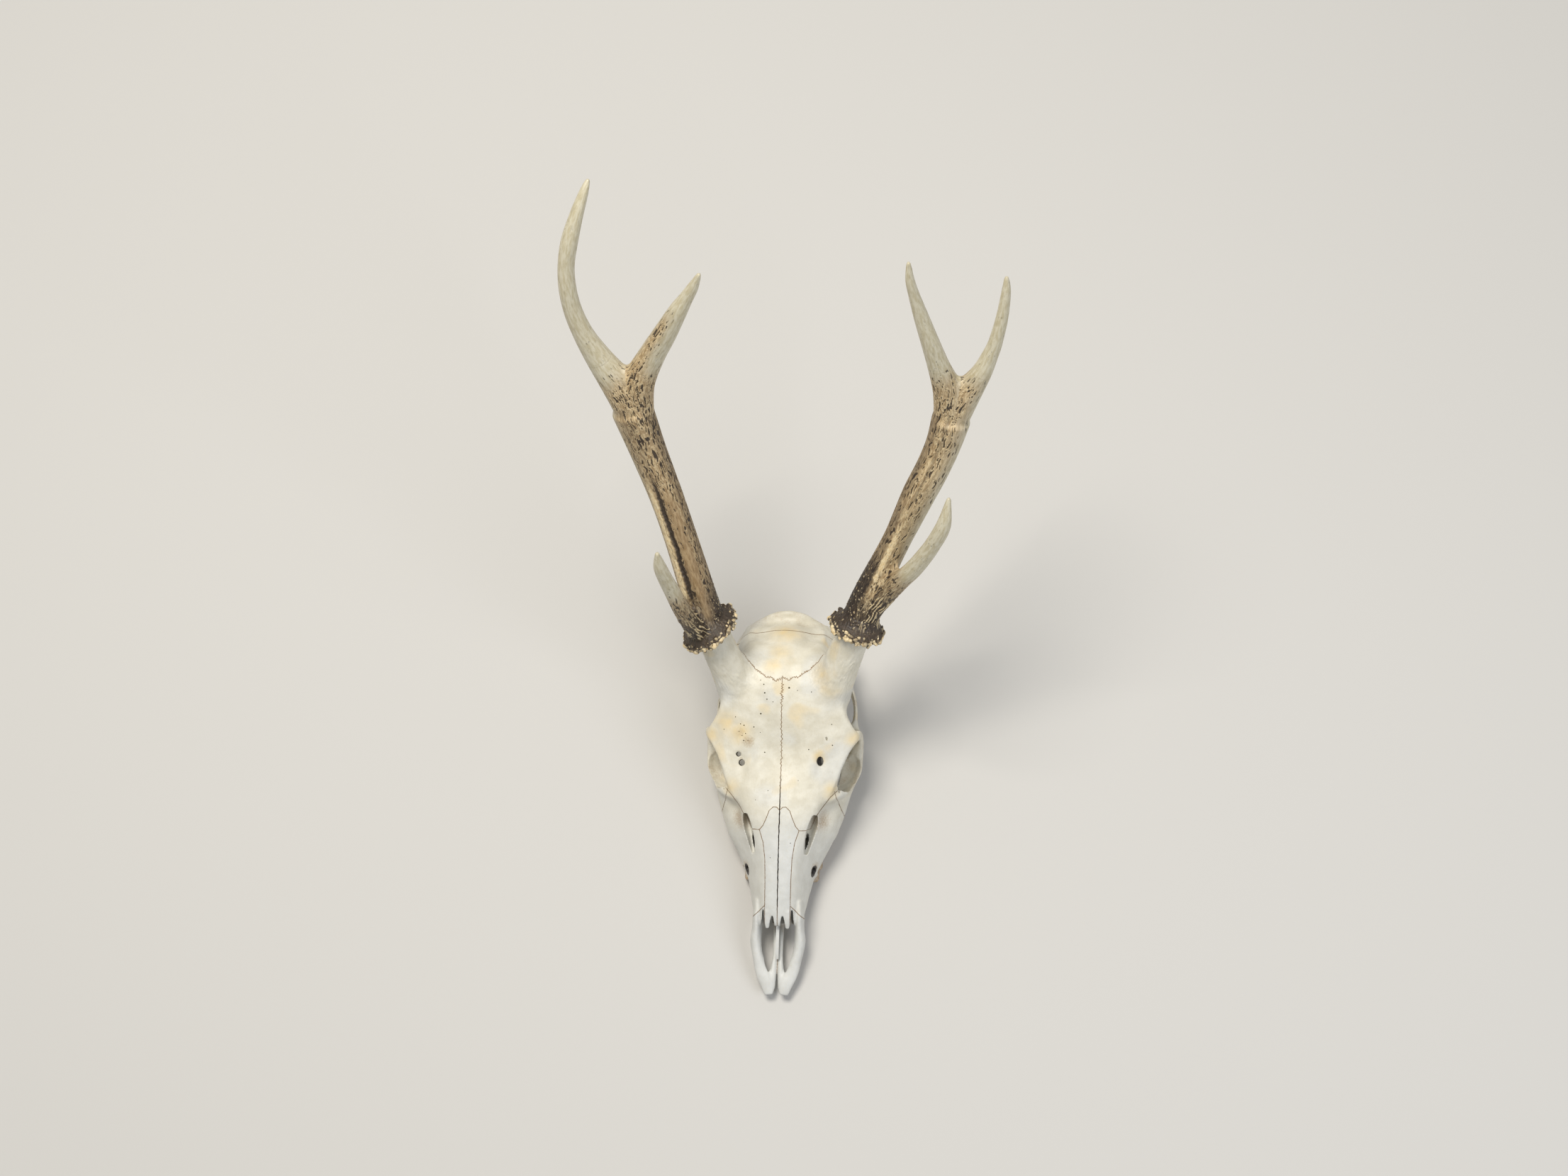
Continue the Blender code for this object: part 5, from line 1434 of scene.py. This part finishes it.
def burr_maps(side, co, pearls):
    """The burr's share of each point and how much it lies on the tip of a pearl."""
    centre = np.array(CORONET[side], float)
    axis = np.array(antler_axis(side))
    lift = (co - centre) @ axis
    span = np.linalg.norm(co - centre - lift[:, None] * axis, axis=1)
    burr = (1 - ramp(lift, 4.5, 10)) * ramp(lift, -6, -3)
    burr = np.maximum(burr, (lift < 6) * ramp(span, 13, 16)) * (lift < 14) * (span < 30)
    near = np.flatnonzero((lift < 10) & (span > 10) & (span < 30))
    pearl = np.zeros(len(co))
    wobble = 0.3 * noise(co[near], 1.2, 14)
    for x, y, z, size, tone in pearls:
        away = co[near] - (x, y, z)
        out = np.array((x, y, z)) - centre
        face = away @ out / (size * np.linalg.norm(out))
        glow = (np.linalg.norm(away, axis=1) < size * 1.3) * ramp(face + wobble, 0.0, 0.7)
        pearl[near] = np.maximum(pearl[near], glow * (0.25 + 0.75 * tone))
    return burr, pearl


def horn_maps(side, co, pearls):
    """The colour maps of an antler's skin, and its relief in mm."""
    beam = branch(BEAM[side])
    length = beam["along"][-1]
    branches = [beam, branch(TOP[side], length - FORK_OVERLAP), branch(INNER[side], length - FORK_OVERLAP),
                branch(BROW_TINE[side])]
    which, s, a, r = surface_coordinates(co, branches)
    turn = np.radians(a)
    grain = np.stack([r * np.sin(turn), r * np.cos(turn), s], axis=1) + which[:, None] * BRANCH_APART
    bent = grain + np.stack([noise(grain, (5, 5, 9), 1), noise(grain, (5, 5, 9), 2),
                             noise(grain, (6, 6, 10), 3)], axis=1) * (1.3, 1.3, 2.5)
    blotch = noise(grain, (11, 11, 26), 4)
    zones = horn_zones(side, which, s, a, blotch, length)
    pale, umber, _, ridge, low = zones
    groove, crest, relief = horn_grooves(side, which, a, bent, zones)
    own_form = left_furrow if side < 0 else right_bank
    groove, crest, relief = own_form(which, s, a, grain, groove, crest, relief)
    relief = relief + 0.45 * ridge
    spots = ramp(noise(bent, (0.9, 0.9, 2.2), 11), 0.5, 0.62)
    spots *= ramp(noise(grain, (7, 7, 12), 12), 0.0, 0.4)
    groove = np.maximum(groove, 0.6 * spots * pale)
    umber = umber * (1 - 0.7 * pale) * (0.75 + 0.5 * noise(grain, (3, 3, 16), 13))
    burr, pearl = burr_maps(side, co, pearls)
    pitted = 0.3 * noise(co, 1.3, 15) + 0.3 * noise(co, 2.4, 16)
    relief = relief * (1 - burr) + burr * pitted * (1 - pearl)
    maps = {"horn_a": np.stack([pale, umber, np.maximum(low, burr)], axis=1),
            "horn_b": np.stack([groove * (1 - burr), crest * (1 - burr), pearl], axis=1),
            "grain": grain}
    return maps, relief


print("horn maps: pale, umber, dark, groove, crest and pearl")

# %% [markdown]
# ## The antlers
#
# Each antler is four tapered tubes that fork from one another: the beam, its upper point,
# the inner point and the brow tine. They are fused, given the burr, refined, and moved by
# the relief. Then sheets part the branches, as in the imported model.

# %% Antler bodies
def antler_body(side):
    """An uncut antler, and the places and maps of its skin before the foot is cut level."""
    stem = join("stem", [tube("branch", table[side]) for table in (BEAM, TOP, INNER, BROW_TINE)])
    filleted(stem, ANTLER_FILLET, ANTLER_COARSE)
    disc_and_pearls, pearls = coronet(side)
    whole = finer(join("antler", [stem] + disc_and_pearls), ANTLER_VOXEL, 2)
    maps, relief = horn_maps(side, coordinates(whole.data), pearls)
    raise_skin(whole.data, relief)
    skin = coordinates(whole.data)
    carve(whole, [drum("foot", side, [(-23, 40), (-3, 40)], 24)])
    return largest(whole), skin, maps


def disc(name, centre, axis, radius):
    """A round kerf square to an axis."""
    first = axis.orthogonal().normalized()
    second = axis.cross(first)
    return plate(name, [centre + (first * math.cos(a) + second * math.sin(a)) * radius
                        for a in (2 * math.pi * k / 20 for k in range(20))])


def between(rows, t):
    """Point and direction at index t along a path."""
    i = min(int(t), len(rows) - 2)
    a, b = Vector(rows[i][:3]), Vector(rows[i + 1][:3])
    return a.lerp(b, t - i), (b - a).normalized()


def antler_kerfs(side):
    """The round kerfs that part one antler into its five pieces."""
    centre = Vector(CORONET[side])
    axis = antler_axis(side)
    out = [disc("burr_kerf", centre + axis * 6.6, axis, 34)]
    spot, along = between(BROW_TINE[side], 2.6 if side < 0 else 3.2)
    out.append(disc("brow_kerf", spot, along, 11))
    for rows, radius in ((TOP[side], 13), (INNER[side], 12)):
        spot, along = between(rows, 2.0)
        out.append(disc("fork_kerf", spot, along, radius))
    return out


print("each antler is parted by a burr, a brow and two fork kerfs")

# %% [markdown]
# ## Finished pieces
#
# Each closed surface becomes one object. The winding number picks the right one for a name:
# it tells which surface encloses a point that is known to lie inside that bone.

# %% Pieces
MOST_TRIANGLES = 192000
CRUMB = 2e-8  # in cubic metres: a smaller closed surface is a crumb of the cut
SHARP_ANGLE = math.radians(60)
pieces = []


def piece(name, part, material, slot, *stands_for):
    """Makes a finished object of one closed surface, still in the face frame."""
    points, faces, _ = part
    obj = bpy.data.objects.new(name, skin_of(name, points.tolist(), faces.tolist()))
    bpy.context.scene.collection.objects.link(obj)
    if len(faces) > MOST_TRIANGLES:
        settle(obj, "DECIMATE", ratio=MOST_TRIANGLES / len(faces))
    mesh = obj.data
    mesh.name = name
    mesh.materials.append(material)
    mesh.shade_smooth()
    mesh.set_sharp_from_angle(angle=SHARP_ANGLE)
    pieces.append((obj, slot, stands_for))
    return obj


def solids_of(obj):
    """The closed surfaces of a parted body, without crumbs. The body goes."""
    parts = [part for part in islands(obj) if part[2] > CRUMB]
    bpy.data.objects.remove(obj, do_unlink=True)
    return parts


def winding(points, faces, spot):
    """How often a closed surface wraps round a spot: 1 inside, 0 outside."""
    a, b, c = (points[faces[:, k]] - spot for k in range(3))
    la, lb, lc = (np.linalg.norm(v, axis=1) for v in (a, b, c))
    above = np.einsum("ij,ij->i", a, np.cross(b, c))
    below = (la * lb * lc + np.einsum("ij,ij->i", a, b) * lc
             + np.einsum("ij,ij->i", b, c) * la + np.einsum("ij,ij->i", c, a) * lb)
    return np.arctan2(above, below).sum() / (2 * math.pi)


def holder(parts, spot):
    """The surface that encloses a point in mm."""
    spot = np.array(spot) * MM
    return max(parts, key=lambda part: winding(part[0], part[1], spot))


def write_maps(mesh, maps):
    for name, rows in maps.items():
        layer = mesh.attributes.new(name, "FLOAT_VECTOR", "POINT")
        layer.data.foreach_set("vector", rows.astype(np.float32).ravel())


print("a piece keeps at most", MOST_TRIANGLES, "triangles")

# %% [markdown]
# ## Stains on the bone
#
# The yellow patches, the cool thin bone and the brown dust each have their own places on
# this skull. They are soft round patches, broken up by noise: each row is a place and a
# size. A row of the deep holes is a start, an end, a radius and how far from the start the
# painted shade begins: one looks through them into the skull, and the shade inside is painted near black.

# %% Bone maps
WARM_PATCHES = [(-7.6, 244, 6, 7), (-3, 256, 0, 9), (31, 237, 6, 9), (35, 228, 4, 8), (-33, 262, 12, 6),
                (-50, 190, -9, 7), (52, 190, -9, 6), (-41, 200, -4, 9), (-30, 193, -2, 9),
                (0, 268, -22, 12), (-36, 152, -10, 7), (37, 152, -10, 7), (28, 176, -3, 5)]
STAINED = [(30, 128, -17, 9), (-30, 128, -17, 9), (6, 50, -24, 8), (-6, 50, -24, 8),
           (-8, 245, 6, 3.4), (-24, 186, -2, 5), (-30, 193, -2, 4), (30, 178, -8, 3.5),
           (-30, 172, -8, 3.5), (25, 92, -26, 6), (-25, 92, -26, 6)]
# the holes whose insides get the near-black painted shade
DEEP_HOLES = [((28.4, 172.8, 0), (28.6, 172, -15), 4.4, 4.6), ((-29.2, 170, 0), (-29, 169.4, -15), 3.2, 4.6),
              ((-31.9, 176.4, 0), (-31.4, 175.6, -15), 2.7, 4.6), ((17, 96, -27), (25.6, 89, -26), 3.4, -6),
              ((-17, 96, -27), (-25.6, 89, -26), 3.4, -6)]
SEAM_REACH = 4


def patches(co, rows):
    """How near each point is to the middle of any of the soft round patches."""
    out = np.zeros(len(co))
    for x, y, z, size in rows:
        far = np.linalg.norm(co - (x, y, z), axis=1)
        out = np.maximum(out, np.exp(-(far / size) ** 2))
    return out


def hole_painted_shade(co):
    """Painted shade: how deep each point lies inside one of the holes that go deep into the skull, where it
    is painted near black.
    """
    out = np.zeros(len(co))
    for top, foot, radius, first in DEEP_HOLES:
        top, axis = np.array(top, float), np.array(foot, float) - top
        axis /= np.linalg.norm(axis)
        depth = (co - top) @ axis
        away = np.linalg.norm(co - top - depth[:, None] * axis, axis=1)
        out = np.maximum(out, (away < radius + 0.8) * ramp(depth, first, first + 2))
    return out


def bone_maps(co):
    """The colour maps of bone: warm, cool, brown stains with a browning deeper down, then fibre, distance to
    a seam, and the painted shade in the deep holes.
    """
    share, grain = fibres(co)
    far = SEAM_REACH * MM
    seam = np.array([min(SEAMS.find_nearest(p, far)[3] or far, far) for p in map(Vector, co * MM)])
    broken = 0.5 + 0.5 * noise(co, 5, 31)
    warm = patches(co, WARM_PATCHES) * (0.6 + 0.5 * broken)
    warm = np.maximum(warm, 0.5 * ramp(noise(co, 16, 32), 0.25, 0.7) * ramp(co[:, 1], 120, 170))
    cool = 0.8 * (1 - ramp(co[:, 1], 105, 150))
    cool = np.maximum(cool, 0.6 * ramp(noise(co, 26, 33), 0.0, 0.5))
    # browner with depth alone: from 26 to 44 mm below the forehead, behind the muzzle
    inner = ramp(-co[:, 2], 26, 44) * ramp(co[:, 1], 120, 150) * 0.5
    enamel = ramp(base_z(co[:, 1]) + 13.5 - co[:, 2], 0, 1.5) * (np.abs(co[:, 0]) > 15) * (co[:, 1] < 153)
    stain_and_depth_brown = np.maximum(np.maximum(patches(co, STAINED) * 0.7, inner * broken), 0.95 * enamel)
    return {"bone_a": np.stack([warm, cool, stain_and_depth_brown], axis=1),
            # the third channel of bone_b is the painted shade in the deep holes
            "bone_b": np.stack([share, seam / MM, hole_painted_shade(co)], axis=1),
            "grain": grain}


print("stains:", len(WARM_PATCHES), "warm and", len(STAINED), "brown patches")

# %% [markdown]
# ## Sharing out the skull
#
# Twelve bones come out of the one clay skull. Five are paired, so a point inside the right
# one and its mirror image on the left name them both.

# %% Skull pieces
PAIRED_BONES = [
    ("nasal", (5, 92, -1), MUZZLE, "muzzle_bone"), ("premaxilla", (15.5, 38, -17), MUZZLE, "muzzle_bone"),
    ("maxilla", (23, 90, -40), BONE, "bone"), ("zygomatic", (54, 160, -45), BONE, "bone"),
    ("frontal", (20, 200, -2), BONE, "bone"),
]
SINGLE_BONES = [("braincase", (0, 225, -50), BONE, "bone"), ("occipital", (0, 264, -76), BONE, "bone")]
SIDES = (("left", -1), ("right", 1))


def bone_piece(node, parts, spot, material, slot):
    obj = piece("bone_" + node, holder(parts, spot), material, slot, node)
    write_maps(obj.data, bone_maps(coordinates(obj.data)))


parts = solids_of(skull)
for bone, (x, y, z), material, slot in PAIRED_BONES:
    for word, side in SIDES:
        bone_piece(bone + "_" + word, parts, (side * x, y, z), material, slot)
for row in SINGLE_BONES:
    bone_piece(row[0], parts, *row[1:])
print("bones shared out:", len(pieces), "after", round(time.perf_counter() - started), "s")

# %% [markdown]
# ## Vomer
#
# The vomer stands upright in the middle of the nasal cavity. It is an outline seen from the
# side, given a thickness, and stays clear of the other bones.

# %% Vomer
def vomer():
    """A thin upright plate, clear of the floor of the nasal cavity."""
    outline = [(25, -15), (36, -18.6), (46, -22.4), (53, -26.4), (60, -30.2), (66, -32.4),
               (84, -36.2), (104, -38.6), (104, -16), (84, -13.6), (62, -13), (44, -13.4),
               (30, -12.6)]
    return loft("vomer_plate", [[(x, y, z) for y, z in outline] for x in (-1.1, 1.1)])


bone_piece("vomer", solids_of(vomer()), (0, 80, -25), MUZZLE, "muzzle_bone")
print("vomer made")

# %% [markdown]
# ## Sharing out the antlers
#
# After the cut, every vertex of a branch looks up the nearest vertex of the uncut skin, and
# takes over its maps.

# %% Antler pieces
def nearest_rows(co, skin):
    """For each point the number of the nearest point of the skin."""
    tree = KDTree(len(skin))
    for i, p in enumerate(skin):
        tree.insert(p, i)
    tree.balance()
    return np.array([tree.find(p)[1] for p in co])


for word, side in SIDES:
    body, skin, maps = antler_body(side)
    carve(body, antler_kerfs(side))
    parts = solids_of(body)
    for part_name, spot, material, slot in (
            ("burr_", CORONET[side], BURR, "burr"),
            ("beam_", BEAM[side][2][:3], HORN, "antler"),
            ("brow_tine_", BROW_TINE[side][4][:3], PALE, "antler_tip"),
            ("inner_tine_", INNER[side][4][:3], PALE, "antler_tip"),
            ("beam_top_", TOP[side][5][:3], PALE, "antler_tip")):
        node = part_name + word
        obj = piece("horn_" + node, holder(parts, spot), material, slot, node)
        rows = nearest_rows(coordinates(obj.data), skin)
        write_maps(obj.data, {key: values[rows] for key, values in maps.items()})
    print(word, "antler:", round(time.perf_counter() - started), "s")

# %% [markdown]
# ## Down to the floor
#
# The whole skull turns by the rest tilt and moves until it stands on the floor, centred on
# the origin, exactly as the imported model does. Then each piece takes the place of its node.

# %% Place
turn = Matrix.Rotation(REST_TILT, 4, "X")
for obj, _, _ in pieces:
    obj.data.transform(turn)
everything = np.concatenate([coordinates(obj.data) for obj, _, _ in pieces])
low, high = everything.min(axis=0) * MM, everything.max(axis=0) * MM
shift = Matrix.Translation((-(low[0] + high[0]) / 2, -(low[1] + high[1]) / 2, -low[2]))
print("shift (mm):", [round(v / MM, 2) for v in shift.translation])
for obj, slot, stands_for in pieces:
    obj.data.transform(shift)
    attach(obj, "root")
    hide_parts(*stands_for)

# %% [markdown]
# ## Floor
#
# The stage is one plain pale plane, dull and slightly grey, so that the bone stays the
# brightest thing in the picture.

# %% Floor
FLOOR_REACH = 4
floor_mesh = bpy.data.meshes.new("floor")
corners = [(x * FLOOR_REACH, y * FLOOR_REACH, 0) for x, y in ((-1, -1), (1, -1), (1, 1), (-1, 1))]
floor_mesh.from_pydata(corners, [], [(0, 1, 2, 3)])
floor_mat, _, shader = surface("floor")
shader.inputs["Base Color"].default_value = srgb("#c9c7c2")
shader.inputs["Roughness"].default_value = 0.8
floor_mesh.materials.append(floor_mat)
floor = bpy.data.objects.new("floor", floor_mesh)
bpy.context.scene.collection.objects.link(floor)
print("floor:", 2 * FLOOR_REACH, "m wide")

# %% [markdown]
# ## Camera
#
# The camera stands where the photographer's did: straight above the forehead, a little to
# the right, with a long lens. It is placed in the face frame and goes to rest with it, so
# its angle to the face stays the photograph's.

# %% Camera
SWING = math.radians(4.0)
ROLL = math.radians(1.5)
TARGET = Vector((-1, 299, 0)) * MM
DISTANCE = 2.236
LENS = 70
SENSOR = 36
rest = shift @ turn
out = Vector((math.sin(SWING), 0, math.cos(SWING)))
across = Vector((math.cos(SWING), 0, -math.sin(SWING)))
up = Vector((0, 1, 0)) * math.cos(ROLL) - across * math.sin(ROLL)
right = up.cross(out)
camera_data = bpy.data.cameras.new("camera")
camera_data.lens = LENS
camera_data.sensor_width = SENSOR
camera = bpy.data.objects.new("camera", camera_data)
bpy.context.scene.collection.objects.link(camera)
axes = Matrix((right, up, out)).transposed().to_4x4()
camera.matrix_world = rest @ Matrix.Translation(TARGET + out * DISTANCE) @ axes
bpy.context.scene.camera = camera
print("camera at", [round(v, 3) for v in camera.matrix_world.translation])

# %% [markdown]
# ## Light
#
# A large soft lamp from above and a weak one from the other side give the even light of a
# studio. A pale world fills the shadows, and the Standard view keeps the whites of the bone.

# %% Light
AIM = (0, 0, 0.1)


def area_light(name, spot, size, watts, tint):
    """A round lamp, size metres wide, that faces the skull."""
    data = bpy.data.lights.new(name, "AREA")
    data.shape = "DISK"
    data.size = size
    data.energy = watts
    data.color = srgb(tint)[:3]
    lamp = bpy.data.objects.new(name, data)
    bpy.context.scene.collection.objects.link(lamp)
    lamp.location = spot
    lamp.rotation_euler = (Vector(AIM) - Vector(spot)).to_track_quat("-Z", "Y").to_euler()


area_light("key", (-0.5, 0.5, 2.4), 1.0, 50, "#fffaf2")
area_light("fill", (1.3, -0.8, 1.6), 1.2, 14, "#f2f6ff")
world = bpy.data.worlds.new("studio")
world.use_nodes = True
world.node_tree.nodes["Background"].inputs["Color"].default_value = srgb("#eef0f2")
world.node_tree.nodes["Background"].inputs["Strength"].default_value = 0.4
bpy.context.scene.world = world
bpy.context.scene.view_settings.view_transform = "Standard"
print("two lamps and a pale world")

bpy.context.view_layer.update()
counts = {obj.name: len(obj.data.polygons) for obj, _, _ in pieces}
print("triangles:", sum(counts.values()), counts)
print("made in", round(time.perf_counter() - started), "s")
